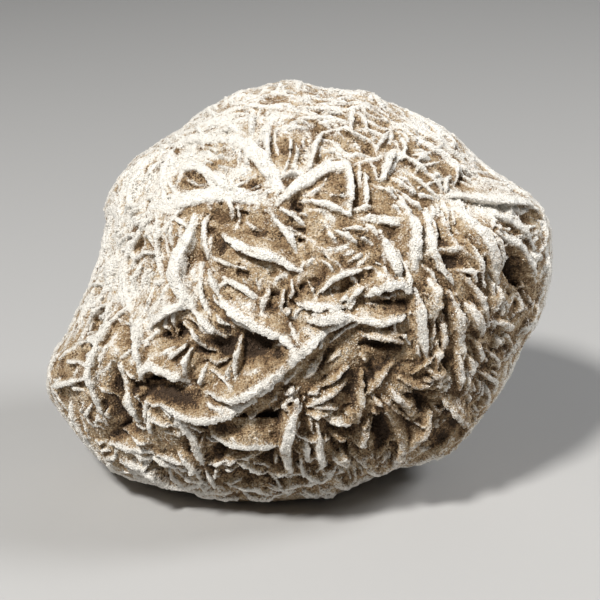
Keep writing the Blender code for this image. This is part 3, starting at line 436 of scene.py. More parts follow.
# Noise: height, cell and seed
BODY_ROUGH = [(0.00026, 0.0034, 1), (0.00014, 0.0014, 2)]
BLADE_ROUGH = [(0.00014, 0.0018, 3), (0.00023, 0.0008, 4)]
GRIT = [(0.00006, 0.00042, 7), (0.00006, 0.0009, 8)]
PITTED = (0.0012, 0.0013, 6)
STONE_FACES = 196000
RECESS_SHADE_DEPTH = (0.0018, 0.0040)         # painted shade: sand darkens from this depth on, over this much more
POCKET = 0.0016                 # a floor sunk by this much is painted in full shade: no white left, and darker sand
COMMON_DUST = 0.04
HIDDEN_DUST = 0.22
HOLLOW_UNIT = 0.00025           # a place this far under its surroundings counts as hollow
LEVELLED = 0.00022              # the stone is flat below this height
CLEAN = 0.0012                  # and no sand lies on it below this one
GRAIN_PIECES = 4
GRAINS_IN_PIECE = 48000         # each grain has 4 faces
GRAIN_SEED = 5
GRAIN_SIZE = 0.000130           # from the middle to a corner
GRAIN_RANGE = (0.00006, 0.00030)
SMALL_SEED = 21
SMALL_TRIES = 30000
SMALL_ROOM = 0.00065            # least distance from a small blade to any other
SMALL_LENGTH = (0.0014, 0.0048)
SMALL_WIDTH = (0.00028, 0.00060)
SMALL_STAND = (0.0006, 0.0013)
SMALL_POINTS = 5
SMALL_CROSSING = 0.22           # of small blades that cut across the nearest crest
SMALL_SPARED = 0.5              # of small blades left out behind the outline
SMALL_BEHIND = -0.004
SMALL_DEEPEST = 0.0009          # hollows deeper than this have none

RIGHT = np.array((1.0, 0.0, 0.0))
UP = np.array((0.0, math.sin(EYE_TILT), math.cos(EYE_TILT)))
NEAR = np.array((0.0, -math.cos(EYE_TILT), math.sin(EYE_TILT)))


# ---- places on the stone

def unit(vectors):
    return vectors / np.maximum(np.linalg.norm(vectors, axis=-1, keepdims=True), 1e-12)


def clamp(values):
    return np.clip(values, 0, 1)


def body_to_world(places):
    """World positions of (right, up, near) places; nearer ones crowd towards the line of sight."""
    shrink = (EYE_DISTANCE - places[:, 2:3]) / EYE_DISTANCE
    across = places[:, 0:1] * RIGHT + places[:, 1:2] * UP
    return np.array(CENTRE) + across * shrink + places[:, 2:3] * NEAR


def from_sheet(points):
    """How far right and up of the centre points of the front sheet are, in metres."""
    points = np.array(points, dtype=float)
    return (points[:, 0] - SHEET_MIDDLE) * SHEET_STEP, (SHEET_MIDDLE - points[:, 1]) * SHEET_STEP


def outline_radius(angle):
    """Distance from the centre to the outline, at an angle anticlockwise from the right."""
    right, up = from_sheet(OUTLINE)
    turn = np.arctan2(up, right)
    order = np.argsort(turn)
    return np.interp(angle, turn[order], np.hypot(right, up)[order], period=2 * math.pi)


def envelope(ways):
    """Distance from the centre to the surface that the crests reach, along unit vectors."""
    level = np.hypot(ways[:, 0], ways[:, 1]) / outline_radius(np.arctan2(ways[:, 1], ways[:, 0]))
    depth = np.where(ways[:, 2] > 0, FRONT_DEPTH, BACK_DEPTH)
    far = np.abs(ways[:, 2]) / depth
    return (level ** ROUNDNESS + far ** ROUNDNESS) ** (-1 / ROUNDNESS)


def on_envelope(places):
    ways = unit(places)
    return ways * envelope(ways)[:, None]


def lift_from_sheet(course):
    """Places on the envelope that the eye sees at points of the front sheet."""
    right, up = from_sheet(course)
    share = np.hypot(right, up) / outline_radius(np.arctan2(up, right))
    share = np.minimum(share, OUTERMOST)
    near = FRONT_DEPTH * (1 - share ** ROUNDNESS) ** (1 / ROUNDNESS)
    return np.stack([right, up, near], axis=1)


def sheet_position(places):
    return SHEET_MIDDLE + places[:, 0] / SHEET_STEP, SHEET_MIDDLE - places[:, 1] / SHEET_STEP


def way_of(bearing, height):
    """Unit vector, in the body's own axes, of a bearing from the front and a height angle."""
    bearing = math.radians(bearing)
    height = math.radians(height)
    world = np.array((math.sin(bearing) * math.cos(height),
                      -math.cos(bearing) * math.cos(height),
                      math.sin(height)))
    return np.array((world @ RIGHT, world @ UP, world @ NEAR))


def rim_share(places):
    """How near the outline that the eye sees a place is, from 0 to 1."""
    return np.exp(-(places[:, 2] / RIM) ** 4)


def front_share(places):
    """How much the tables of the front apply at a place, from 0 to 1."""
    return clamp(places[:, 2] / FRONT_FADE)


def patches(places, table, power):
    """The value of each row of a table of the front, and how much of it each place has."""
    x, y = sheet_position(places)
    for at_x, at_y, along, across, turn, value in table:
        turn = math.radians(turn)
        run = (x - at_x) * math.cos(turn) - (y - at_y) * math.sin(turn)
        side = (x - at_x) * math.sin(turn) + (y - at_y) * math.cos(turn)
        spread = (run / along) ** 2 + (side / across) ** 2
        yield value, np.exp(-spread ** power)


def strongest(places, table, power, scale=1.0):
    """The greatest value that any row of a table gives each place. High powers have steep sides."""
    most = np.zeros(len(places))
    for value, share in patches(places, table, power):
        most = np.maximum(most, value * scale * share)
    return most


def wear(places):
    """How deep the grooves are: 1, and less on the worn brow and round the outline."""
    x, y = sheet_position(places)
    down = clamp(((x - 150) * 0.25 + (y - 130) * 0.9) / 230)
    seen = clamp(places[:, 2] / 0.010)
    rim = np.exp(-((places[:, 2] - 0.002) / 0.008) ** 2)
    return (1 - 0.5 * seen * (1 - down)) * (1 - 0.5 * rim)


def pit_depth(places):
    """Depth of the steep-walled pits at places on the envelope, in metres."""
    return strongest(places, PITS, 2, MM) * front_share(places)


def floor_height(places):
    """Height of the sandy floor over the envelope, in metres, at places on the envelope."""
    height = -GROOVE * wear(places)
    seen = front_share(places)
    for rise, share in patches(places, FRONT_RELIEF, 1.4):
        height = height + seen * rise * MM * share
    ways = unit(places)
    behind = clamp((0.002 - places[:, 2]) / 0.008)
    for bearing, up, reach, rise in HIDDEN_RELIEF:
        apart = np.degrees(np.arccos(np.clip(ways @ way_of(bearing, up), -1, 1)))
        height = height + behind * rise * MM * np.exp(-(apart / reach) ** 2)
    return height


def bladeless(places):
    """Share of small blades left out at places on the envelope."""
    return strongest(places, BLADELESS, 3) * (places[:, 2] > 0)


def crumbly(places):
    return strongest(places, CRUMBLY, 2) * front_share(places)


def ground_height(places):
    """Height of the floor over the envelope without its pits, evened out round the outline."""
    return floor_height(places) * (1 - RIM_EVENED * rim_share(places))


# ---- crests

def smooth_course(points, spacing):
    """Evenly spaced points on a smooth curve through the given ones."""
    padded = np.vstack([2 * points[0] - points[1], points, 2 * points[-1] - points[-2]])
    steps = np.linspace(0, 1, 12, endpoint=False)[:, None]
    pieces = []
    for a, b, c, d in zip(padded, padded[1:], padded[2:], padded[3:]):
        bend = 2 * a - 5 * b + 4 * c - d
        twist = 3 * b - 3 * c + d - a
        pieces.append(0.5 * (2 * b + (c - a) * steps + bend * steps ** 2 + twist * steps ** 3))
    curve = np.vstack(pieces + [points[-1:]])
    run = np.concatenate([[0], np.cumsum(np.linalg.norm(np.diff(curve, axis=0), axis=1))])
    count = max(3, int(round(run[-1] / spacing)) + 1)
    marks = np.linspace(0, run[-1], count)
    return np.stack([np.interp(marks, run, curve[:, axis]) for axis in range(3)], axis=1)


def make_crest(course, width, stand):
    """A crest: its course on the envelope, and its half width and height at each point of it."""
    places = on_envelope(smooth_course(course, TOP_SPACING))
    share = np.linspace(0, 1, len(places))
    taper = clamp(np.minimum(share, 1 - share) * 3)
    half = width / 2 * (0.35 + 0.60 * taper)
    height = stand * (0.35 + 0.65 * taper) * (0.35 + 0.65 * wear(places))
    return places, half, height, stand in (LIP, LOW_LIP)


def front_crests():
    crests = []
    for width, stand, *course in FRONT_CRESTS:
        crests.append(make_crest(lift_from_sheet(course), width * MM, stand))
    return crests


def bowed_course(middle, run, side, length, bow, count):
    """A course on the envelope that runs both ways from its middle, bowed to a side."""
    share = np.linspace(-1, 1, count)[:, None]
    return on_envelope(middle + run * share * length / 2 + side * bow * (1 - share ** 2))


def family_run(way, rng):
    """Direction across the surface in which a hidden crest runs, and the way up beside it."""
    middles = np.array([way_of(bearing, height) for bearing, height, _ in HIDDEN_FAMILIES])
    nearest = int(np.argmax(middles @ way))
    turn = math.radians(HIDDEN_FAMILIES[nearest][2]) + rng.normal(0, FAMILY_SPREAD)
    if rng.random() < CROSSING_SHARE:
        turn += math.pi / 2 + rng.normal(0, CROSSING_SPREAD)
    overhead = np.array((0.0, UP[2], NEAR[2]))
    level = np.cross(overhead, way)
    level = level / np.linalg.norm(level)
    upright = np.cross(way, level)
    run = math.cos(turn) * level + math.sin(turn) * upright
    return run, np.cross(way, run)


def hidden_crests(shown):
    """Crests of the sides, the back and underneath, fitted into the room that is left."""
    rng = np.random.default_rng(HIDDEN_SEED)
    taken = np.vstack([crest[0] for crest in shown])
    crests = []
    for _ in range(HIDDEN_TRIES):
        way = rng.normal(size=3)
        way = way / np.linalg.norm(way)
        run, side = family_run(way, rng)
        length = rng.uniform(*HIDDEN_LENGTH)
        width = rng.uniform(*HIDDEN_WIDTH)
        stand = rng.uniform(*HIDDEN_STAND)
        bow = rng.normal(0, 0.12) * length
        middle = on_envelope(way[None, :])[0]
        course = bowed_course(middle, run, side, length, bow, HIDDEN_POINTS)
        apart = np.linalg.norm(course[:, None] - taken[None], axis=2).min(axis=1)
        clear = (apart > HIDDEN_ROOM) & (course[:, 2] < HIDDEN_EDGE)
        clear &= body_to_world(course)[:, 2] > REST_CLEAR
        free = longest_run(clear)
        if len(free) < 2 or length * (len(free) - 1) / (HIDDEN_POINTS - 1) < HIDDEN_SHORTEST:
            continue
        crests.append(make_crest(course[free], width, stand))
        taken = np.vstack([taken, crests[-1][0]])
    return crests


def small_crests(shown):
    """Short thin blades in the room between the others, mostly run alongside the nearest one."""
    rng = np.random.default_rng(SMALL_SEED)
    taken = np.vstack([crest[0] for crest in shown])
    runs = np.vstack([unit(np.gradient(crest[0], axis=0)) for crest in shown])
    crests = []
    for attempt in range(SMALL_TRIES):
        middle = on_envelope(rng.normal(size=(1, 3)))[0]
        length = rng.uniform(*SMALL_LENGTH) * (1.8 - attempt / SMALL_TRIES)
        turn = rng.normal(0, 0.30)
        bow = rng.normal(0, 0.1) * length
        width = rng.uniform(*SMALL_WIDTH)
        stand = rng.uniform(*SMALL_STAND)
        crossing = rng.uniform(0.9, 2.2)
        if rng.random() < SMALL_CROSSING:
            turn += crossing
        spared, bare = rng.random(2)
        away = np.linalg.norm(taken - middle, axis=1)
        if away.min() < SMALL_ROOM:
            continue
        way = unit(middle)
        run = runs[np.argmin(away)]
        run = unit(run - way * (run @ way))
        run = run * math.cos(turn) + np.cross(way, run) * math.sin(turn)
        course = bowed_course(middle, run, np.cross(way, run), length, bow, SMALL_POINTS)
        close = taken[away < length / 2 + SMALL_ROOM]
        if len(close) and np.linalg.norm(course[:, None] - close[None], axis=2).min() < SMALL_ROOM:
            continue
        if body_to_world(course)[:, 2].min() < REST_CLEAR:
            continue
        if (middle[2] < SMALL_BEHIND and spared < SMALL_SPARED) or bare < bladeless(middle[None])[0]:
            continue
        level = floor_height(middle[None])[0] + GROOVE * wear(middle[None])[0]
        if level - pit_depth(middle[None])[0] < -SMALL_DEEPEST:
            continue
        stand *= (1 - 0.45 * rim_share(middle[None])[0]) * (1 - 0.5 * crumbly(middle[None])[0])
        crests.append(make_crest(course, width, stand))
        taken = np.vstack([taken, course])
        runs = np.vstack([runs, np.repeat(run[None], len(course), axis=0)])
    return crests


def longest_run(flags):
    best = []
    current = []
    for index, flag in enumerate(flags):
        current = current + [index] if flag else []
        if len(current) > len(best):
            best = current
    return best


# ---- noise

CUBE = [(corner & 1, corner >> 1 & 1, corner >> 2 & 1) for corner in range(8)]


def lattice(cells, seed):
    """Random values in 0 to 1 at whole-numbered cells, the same each run."""
    cells = cells.astype(np.uint32)
    mixed = cells[..., 0] * np.uint32(374761393) + cells[..., 1] * np.uint32(668265263)
    mixed = mixed + cells[..., 2] * np.uint32(2147483647) + np.uint32(seed * 7919 + 13)
    mixed = (mixed ^ (mixed >> np.uint32(13))) * np.uint32(1274126177)
    mixed = mixed ^ (mixed >> np.uint32(16))
    return (mixed & np.uint32(0xFFFFFF)).astype(np.float32) / np.float32(0xFFFFFF)


def noise(places, cell, seed):
    """Smooth noise in -1 to 1 with bumps about one cell across."""
    scaled = places / cell + 1000.0
    whole = np.floor(scaled).astype(np.int64)
    part = (scaled - whole).astype(np.float32)
    part = part * part * (3 - 2 * part)
    total = np.zeros(len(places), dtype=np.float32)
    for step in CUBE:
        weight = np.prod(np.where(step, part, 1 - part), axis=1)
        total += weight * lattice(whole + step, seed)
    return total * 2 - 1


def layered(places, layers):
    return sum(height * noise(places, cell, seed) for height, cell, seed in layers)


# ---- the volume

def volume_axes():
    return [np.arange(-reach, reach + VOXEL / 2, VOXEL, dtype=np.float32) for reach in VOLUME_REACH]


def radial_map():
    """Distance from the centre to the envelope and to the sandy floor, for ways all round."""
    turns = np.linspace(-math.pi, math.pi, 1081)
    tilts = np.linspace(0, math.pi, 541)
    turn, tilt = np.meshgrid(turns, tilts, indexing="ij")
    ways = np.stack([np.sin(tilt) * np.cos(turn), np.sin(tilt) * np.sin(turn), np.cos(tilt)], axis=-1)
    ways = ways.reshape(-1, 3)
    reach = envelope(ways)
    on_top = ways * reach[:, None]
    floor = reach + ground_height(on_top) - pit_depth(on_top) * (1 - RIM_EVENED * rim_share(on_top))
    return reach.reshape(turn.shape).astype(np.float32), floor.reshape(turn.shape).astype(np.float32)


def read_map(table, places):
    """Values of a radial map in the ways of the given places."""
    length = np.linalg.norm(places, axis=1)
    turn = (np.arctan2(places[:, 1], places[:, 0]) + math.pi) / (2 * math.pi) * (table.shape[0] - 1)
    tilt = np.arccos(np.clip(places[:, 2] / length, -1, 1)) / math.pi * (table.shape[1] - 1)
    a = np.clip(turn.astype(int), 0, table.shape[0] - 2)
    b = np.clip(tilt.astype(int), 0, table.shape[1] - 2)
    da = turn - a
    db = tilt - b
    low = table[a, b] * (1 - db) + table[a, b + 1] * db
    high = table[a + 1, b] * (1 - db) + table[a + 1, b + 1] * db
    return low * (1 - da) + high * da


def body_volume(axes, reach_map, floor_map):
    """Distance to the sandy floor through the volume: inside is negative."""
    shape = tuple(len(axis) for axis in axes)
    field = np.full(shape, SHELL_OUT, dtype=np.float32)
    for i, x in enumerate(axes[0]):
        y, z = np.meshgrid(axes[1], axes[2], indexing="ij")
        places = np.stack([np.full(y.size, x), y.ravel(), z.ravel()], axis=1)
        length = np.linalg.norm(places, axis=1) + 1e-9
        over = length - read_map(reach_map, places)
        layer = np.where(over < 0, -SHELL_IN, SHELL_OUT).astype(np.float32)
        shell = np.nonzero((over > -SHELL_IN) & (over < SHELL_OUT))[0]
        some = places[shell]
        rough = layered(some, BODY_ROUGH)
        deepest, cell, seed = PITTED
        rough += deepest * (clamp(noise(some, cell, seed) - 0.20) * (0.6 + 1.4 * crumbly(some)))
        layer[shell] = length[shell] - read_map(floor_map, some) + rough * (1 - 0.5 * rim_share(some))
        field[i] = layer.reshape(y.shape)
    return field


def blade_volume(axes, crests):
    """Distance to the nearest blade, and how near its worn edge each place is, from 0 to 1."""
    shape = tuple(len(axis) for axis in axes)
    field = np.full(shape, SHELL_OUT, dtype=np.float32)
    edge = np.zeros(shape, dtype=np.float32)
    rng = np.random.default_rng(CHIP_SEED)
    for course, half, stand, lip in crests:
        ground = ground_height(course)
        chips = rng.normal(0, CHIP, len(course))
        rim = rim_share(course)
        top = ground + stand + chips
        top = top * (1 - rim) + np.minimum(top, RIM_TOP) * rim
        hang = rng.uniform(*LIP_HANG) if lip else rng.uniform(*HANG)
        back = rng.uniform(*BACK)
        if stand.max() < SUNKEN:
            hang = min(hang, HANG[1])
            back = BACK[0]
        for k in range(len(course) - 1):
            bare = min(1, 0.70 + stand[k] / BARE_STAND)
            ends = slice(k, k + 2)
            add_blade(field, edge, axes, course[ends], half[ends], top[ends], hang, back, bare)
    return field, edge


def add_blade(field, edge, axes, ends, half, top, hang, back, bare):
    """Join one straight stretch of a blade to the volume.

    Its lower side, as the eye sees it, leans in under the edge by hang, and its upper side runs
    out by back, both per unit of depth.
    """
    start, stop = ends
    along = stop - start
    length = np.linalg.norm(along)
    along = along / length
    out = unit(start + stop)
    side = unit(np.cross(out, along))
    if side @ np.array((0.35, -0.94, 0.0)) < 0:
        side = -side
    middle = (start + stop) / 2
    step = np.subtract(*on_envelope(np.array((middle + side * SLOPE_STEP, middle))))
    slope = np.float32(np.clip((step @ out) / (step @ side), -STEEPEST, STEEPEST))
    reach = length / 2 + BLADE_REACH
    slices = []
    for axis, at in zip(axes, middle):
        first = np.searchsorted(axis, at - reach)
        last = np.searchsorted(axis, at + reach)
        slices.append(slice(first, last))
    x = axes[0][slices[0]][:, None, None] - np.float32(start[0])
    y = axes[1][slices[1]][None, :, None] - np.float32(start[1])
    z = axes[2][slices[2]][None, None, :] - np.float32(start[2])

    def towards(vector):
        return x * np.float32(vector[0]) + y * np.float32(vector[1]) + z * np.float32(vector[2])

    run = towards(along)
    share = np.clip(run / np.float32(length), 0, 1)
    beyond = run - share * np.float32(length)
    across = towards(side)
    climb = np.float32(top[1] - top[0] + (stop - start) @ out)
    tilted = slope * np.clip(across, -SLOPE_REACH, SLOPE_REACH)
    below = np.float32(top[0]) + share * climb + tilted - towards(out)
    wide = half[0] + share * (half[1] - half[0])
    depth = np.clip(below, 0, BLADE_DEPTH)
    across = across + hang * depth
    spread = np.hypot(across, beyond)
    lean = np.where(across > 0, UNDER_LEAN, back + hang)
    lateral = spread - wide - lean * depth
    a = lateral + EDGE_ROUND
    b = EDGE_ROUND - below
    blade = np.minimum(np.maximum(a, b), 0) + np.hypot(np.maximum(a, 0), np.maximum(b, 0)) - EDGE_ROUND
    place = tuple(slices)
    field[place] = np.minimum(field[place], blade)
    near_top = clamp(1.2 - np.abs(below) / EDGE_BAND[0])
    near_top = near_top * clamp(1.2 - np.maximum(spread - wide, 0) / EDGE_BAND[1])
    banked = clamp(1.3 - np.abs(below) / BANK_BAND[0]) * clamp(1.3 - (spread - wide) / BANK_BAND[1])
    near_top = np.maximum(near_top, BANKED * np.minimum(banked, 1))
    edge[place] = np.maximum(edge[place], bare * np.minimum(near_top, 1))


def world_height(axes):
    """Height over the resting surface through the volume."""
    shrink = (EYE_DISTANCE - axes[2]) / EYE_DISTANCE
    up = axes[1][:, None] * shrink[None, :] * UP[2]
    return CENTRE[2] + up + axes[2][None, :] * NEAR[2]


def stone_volume():
    axes = volume_axes()
    reach_map, floor_map = radial_map()
    crests = front_crests()
    crests += hidden_crests(crests)
    crests += small_crests(crests)
    body = body_volume(axes, reach_map, floor_map)
    blades, edge = blade_volume(axes, crests)
    close = np.nonzero(np.abs(blades) < BLADE_SKIN)
    places = np.stack([axis[index] for axis, index in zip(axes, close)], axis=1)
    blades[close] += layered(places, BLADE_ROUGH)
    mix = clamp(0.5 + 0.5 * (blades - body) / FILLET)
    field = blades * (1 - mix) + body * mix - FILLET * mix * (1 - mix)
    field = np.maximum(field, -world_height(axes)[None, :, :].astype(np.float32))
    return axes, field, edge, reach_map


def sample(volume, axes, places):
    """Values of a volume at places, read between its voxels."""
    whole = []
    part = []
    for axis, column in zip(axes, places.T):
        at = np.clip((column - axis[0]) / VOXEL, 0, len(axis) - 1.001)
        whole.append(at.astype(int))
        part.append(at - at.astype(int))
    total = np.zeros(len(places))
    for step in CUBE:
        weight = np.ones(len(places))
        for axis in range(3):
            weight = weight * (part[axis] if step[axis] else 1 - part[axis])
        index = tuple(whole[axis] + step[axis] for axis in range(3))
        total += weight * volume[index]
    return total


# ---- meshes

def mesh_from_arrays(name, places, faces):
    """A mesh from numpy arrays of vertex places and equal-sized faces."""
    mesh = bpy.data.meshes.new(name)
    mesh.vertices.add(len(places))
    mesh.vertices.foreach_set("co", places.astype(np.float32).ravel())
    sides = faces.shape[1]
    mesh.loops.add(faces.size)
    mesh.loops.foreach_set("vertex_index", faces.astype(np.int32).ravel())
    mesh.polygons.add(len(faces))
    mesh.polygons.foreach_set("loop_start", np.arange(0, faces.size, sides, dtype=np.int32))
    mesh.update(calc_edges=True)
    mesh.validate()
    return mesh


def add_object(name, data):
    thing = bpy.data.objects.new(name, data)
    bpy.context.scene.collection.objects.link(thing)
    return thing


def add_piece(mesh, material):
    mesh.materials.append(material)
    return add_object(mesh.name, mesh)


def corners_of(places, faces):
    return (places[faces[:, k]] for k in range(3))


def set_attribute(mesh, name, values):
    attribute = mesh.attributes.new(name, "FLOAT", "POINT")
    attribute.data.foreach_set("value", np.asarray(values, dtype=np.float32))


def vertex_places(mesh):
    places = np.empty(len(mesh.vertices) * 3, dtype=np.float32)
    mesh.vertices.foreach_get("co", places)
    return places.reshape(-1, 3).astype(float)


def skin_mesh(axes, field):
    """Mesh of the volume's surface, thinned to the number of faces that the stone may have."""
    grid = openvdb.FloatGrid()
    grid.background = float(SHELL_OUT)
    grid.copyFromArray(np.ascontiguousarray(field))
    points, quads = grid.convertToQuads(0.0)
    places = points * VOXEL + np.array([axis[0] for axis in axes])
    faces = np.vstack([quads[:, (0, 1, 2)], quads[:, (0, 2, 3)]])
    a, b, c = corners_of(places, faces)
    if np.einsum("ij,ij->", a, np.cross(b, c)) < 0:
        faces = faces[:, ::-1]
    mesh = mesh_from_arrays("stone_skin", places, faces)
    rough = add_object("stone_skin", mesh)
    thin = rough.modifiers.new("thin", "DECIMATE")
    thin.ratio = min(1, STONE_FACES / len(faces))
    graph = bpy.context.evaluated_depsgraph_get()
    result = bpy.data.meshes.new_from_object(rough.evaluated_get(graph))
    bpy.data.objects.remove(rough, do_unlink=True)
    return result


def triangles(mesh):
    mesh.calc_loop_triangles()
    index = np.empty(len(mesh.loop_triangles) * 3, dtype=np.int32)
    mesh.loop_triangles.foreach_get("vertices", index)
    return index.reshape(-1, 3)


def vertex_normals(places, faces):
    a, b, c = corners_of(places, faces)
    face = np.cross(b - a, c - a)
    total = np.zeros_like(places)
    for k in range(3):
        np.add.at(total, faces[:, k], face)
    return unit(total)


def smoothed(values, edges, rounds):
    """Values averaged with their neighbours' along the mesh's edges."""
    count = np.bincount(edges.ravel(), minlength=len(values)).astype(float)
    for _ in range(rounds):
        total = np.zeros_like(values)
        np.add.at(total, edges[:, 0], values[edges[:, 1]])
        np.add.at(total, edges[:, 1], values[edges[:, 0]])
        share = total / np.maximum(count, 1).reshape((-1,) + (1,) * (values.ndim - 1))
        values = 0.4 * values + 0.6 * share
    return values


def dust_and_painted_light_share(places):
    """How dusted with white a place is, with painted light: most on the brow, where part of it is
    painted highlight, and least low on the right and in the recesses, where the loss is painted shade.
    """
    x, y = sheet_position(places)
    front = clamp(places[:, 2] / 0.012)
    share = np.full(len(places), COMMON_DUST)
    for most, near in patches(places, DUST_AND_PAINTED_LIGHT, 1.5):
        share = share + (most - share) * near
    # painted shade: less white towards the lower right
    low = clamp((y - 330 + 0.35 * (x - 300)) / 140)
    return (share - 0.12 * low) * front + HIDDEN_DUST * (1 - front)


def edge_shade_share(places):
    """Where the edges are painted less white, as shade, from 0 to 1."""
    return strongest(places, SHADED_EDGE_PATCHES, 2) * front_share(places)


def pocket_share(places, floor):
    """How far the floor at a place is hollowed out below the common one, from 0 to 1."""
    return clamp(-(floor + GROOVE * wear(places)) / POCKET)


def build_stone(material):
    axes, field, edge, reach_map = stone_volume()
    mesh = skin_mesh(axes, field)
    places = vertex_places(mesh)
    faces = triangles(mesh)
    normals = vertex_normals(places, faces)
    edges = np.vstack([faces[:, (0, 1)], faces[:, (1, 2)], faces[:, (2, 0)]])
    even = smoothed(places, edges, 10)
    hollow = np.einsum("ij,ij->i", even - places, normals) / HOLLOW_UNIT
    on_top = on_envelope(places)
    depth = read_map(reach_map, places) - np.linalg.norm(places, axis=1)
    # painted shade: the sand darkens the deeper a place lies under the envelope
    painted_recess_shade = clamp((depth - RECESS_SHADE_DEPTH[0]) / RECESS_SHADE_DEPTH[1])
    near_edge = sample(edge, axes, places)
    dust_and_painted_light = dust_and_painted_light_share(places)
    # painted shade in the hollows too, less where the white is thick
    painted_recess_shade += 0.45 * clamp(hollow - 0.10) * clamp(1 - 1.5 * dust_and_painted_light)
    # white on the worn edges, less of it where they are painted in shade
    wear_dust_and_painted_light = 0.95 * near_edge * (1 - 0.45 * edge_shade_share(places))
    wear_dust_and_painted_light = wear_dust_and_painted_light + 1.10 * np.where(dust_and_painted_light > 0, dust_and_painted_light, dust_and_painted_light * (1 - near_edge))
    # painted shade: hollows and sunk pockets lose their white and darken; bumps turn a little whiter
    wear_dust_and_painted_light -= 0.30 * np.clip(hollow, -1, 1) + 0.45 * pocket_share(on_top, floor_height(on_top))
    wear_dust_and_painted_light += 0.30 * noise(places, 0.0021, 13)
    world = body_to_world(places + normals * layered(places, GRIT)[:, None])
    resting = world[:, 2] < LEVELLED
    world[resting, 2] = 0
    mesh.vertices.foreach_set("co", world.astype(np.float32).ravel())
    set_attribute(mesh, "wear_dust_and_painted_light", wear_dust_and_painted_light)
    set_attribute(mesh, "painted_recess_shade", painted_recess_shade)
    mesh.shade_smooth()
    mesh.name = "stone"
    stone = add_piece(mesh, material)
    return stone, (places, faces, normals, wear_dust_and_painted_light, painted_recess_shade)


def build_grains(surface, material):
    """Loose sand over the floor and powder on the edges, as joined grains of real geometry."""
    places, faces, normals, wear_dust_and_painted_light, painted_recess_shade = surface
    rng = np.random.default_rng(GRAIN_SEED)
    a, b, c = corners_of(places, faces)
    area = np.linalg.norm(np.cross(b - a, c - a), axis=1) / 2
    facing = clamp(normals[faces].mean(axis=1)[:, 2])
    liking = area * (0.60 + 0.8 * facing)
    resting = body_to_world(places)[:, 2][faces].min(axis=1) < CLEAN
    liking[resting] = 0
    total = GRAIN_PIECES * GRAINS_IN_PIECE
    chosen = faces[rng.choice(len(faces), size=total, p=liking / liking.sum())]
    mix = rng.dirichlet((1, 1, 1), total)
    spot = np.einsum("ij,ijk->ik", mix, places[chosen])
    out = unit(np.einsum("ij,ijk->ik", mix, normals[chosen]))
    grain_wear_dust_and_painted_light = np.einsum("ij,ij->i", mix, wear_dust_and_painted_light[chosen])
    # the painted recess shade where each grain lies
    below = np.einsum("ij,ij->i", mix, painted_recess_shade[chosen])
    size = rng.lognormal(math.log(GRAIN_SIZE), 0.36, total)
    size = np.clip(size, *GRAIN_RANGE) * (1 - 0.20 * clamp(grain_wear_dust_and_painted_light))
    size *= 1 - 0.4 * rim_share(spot)
    clump = 0.55 + 0.50 * noise(spot, 0.0016, 11) + 0.35 * noise(spot, 0.0045, 12)
    tone = clamp(0.48 * rng.beta(1.1, 1.1, total) + 0.54 * clump)
    corners = np.array([(1, 1, 1), (1, -1, -1), (-1, 1, -1), (-1, -1, 1)]) / math.sqrt(3)
    sides = np.array([(0, 1, 2), (0, 2, 3), (0, 3, 1), (1, 3, 2)])
    pieces = []
    for k in range(GRAIN_PIECES):
        count = GRAINS_IN_PIECE
        part = slice(k * count, (k + 1) * count)
        turn, _ = np.linalg.qr(rng.normal(size=(count, 3, 3)))
        turn *= np.sign(np.linalg.det(turn))[:, None, None]
        shape = corners[None] * rng.uniform(0.7, 1.3, (count, 4, 1))
        points = np.einsum("nij,nkj->nki", turn, shape) * size[part, None, None]
        points += (spot[part] + out[part] * size[part, None] * 0.2)[:, None]
        index = sides[None] + 4 * np.arange(count)[:, None, None]
        world = body_to_world(points.reshape(-1, 3))
        mesh = mesh_from_arrays(f"sand_{k + 1}", world, index.reshape(-1, 3))
        for name, values in (("tone", tone), ("wear_dust_and_painted_light", grain_wear_dust_and_painted_light), ("painted_recess_shade", below)):
            set_attribute(mesh, name, np.repeat(values[part], 4))
        pieces.append(add_piece(mesh, material))
    return pieces


# ---- materials

POWDER = (0.85, 0.82, 0.76, 1)
CREAM = (0.60, 0.49, 0.345, 1)
TAN = (0.395, 0.277, 0.157, 1)
BROWN = (0.19, 0.116, 0.060, 1)
DARK = (0.065, 0.041, 0.025, 1)
PALE = (0.47, 0.465, 0.455, 1)
BUMP = 0.00055                  # greatest height of the bumps of sand and flecks


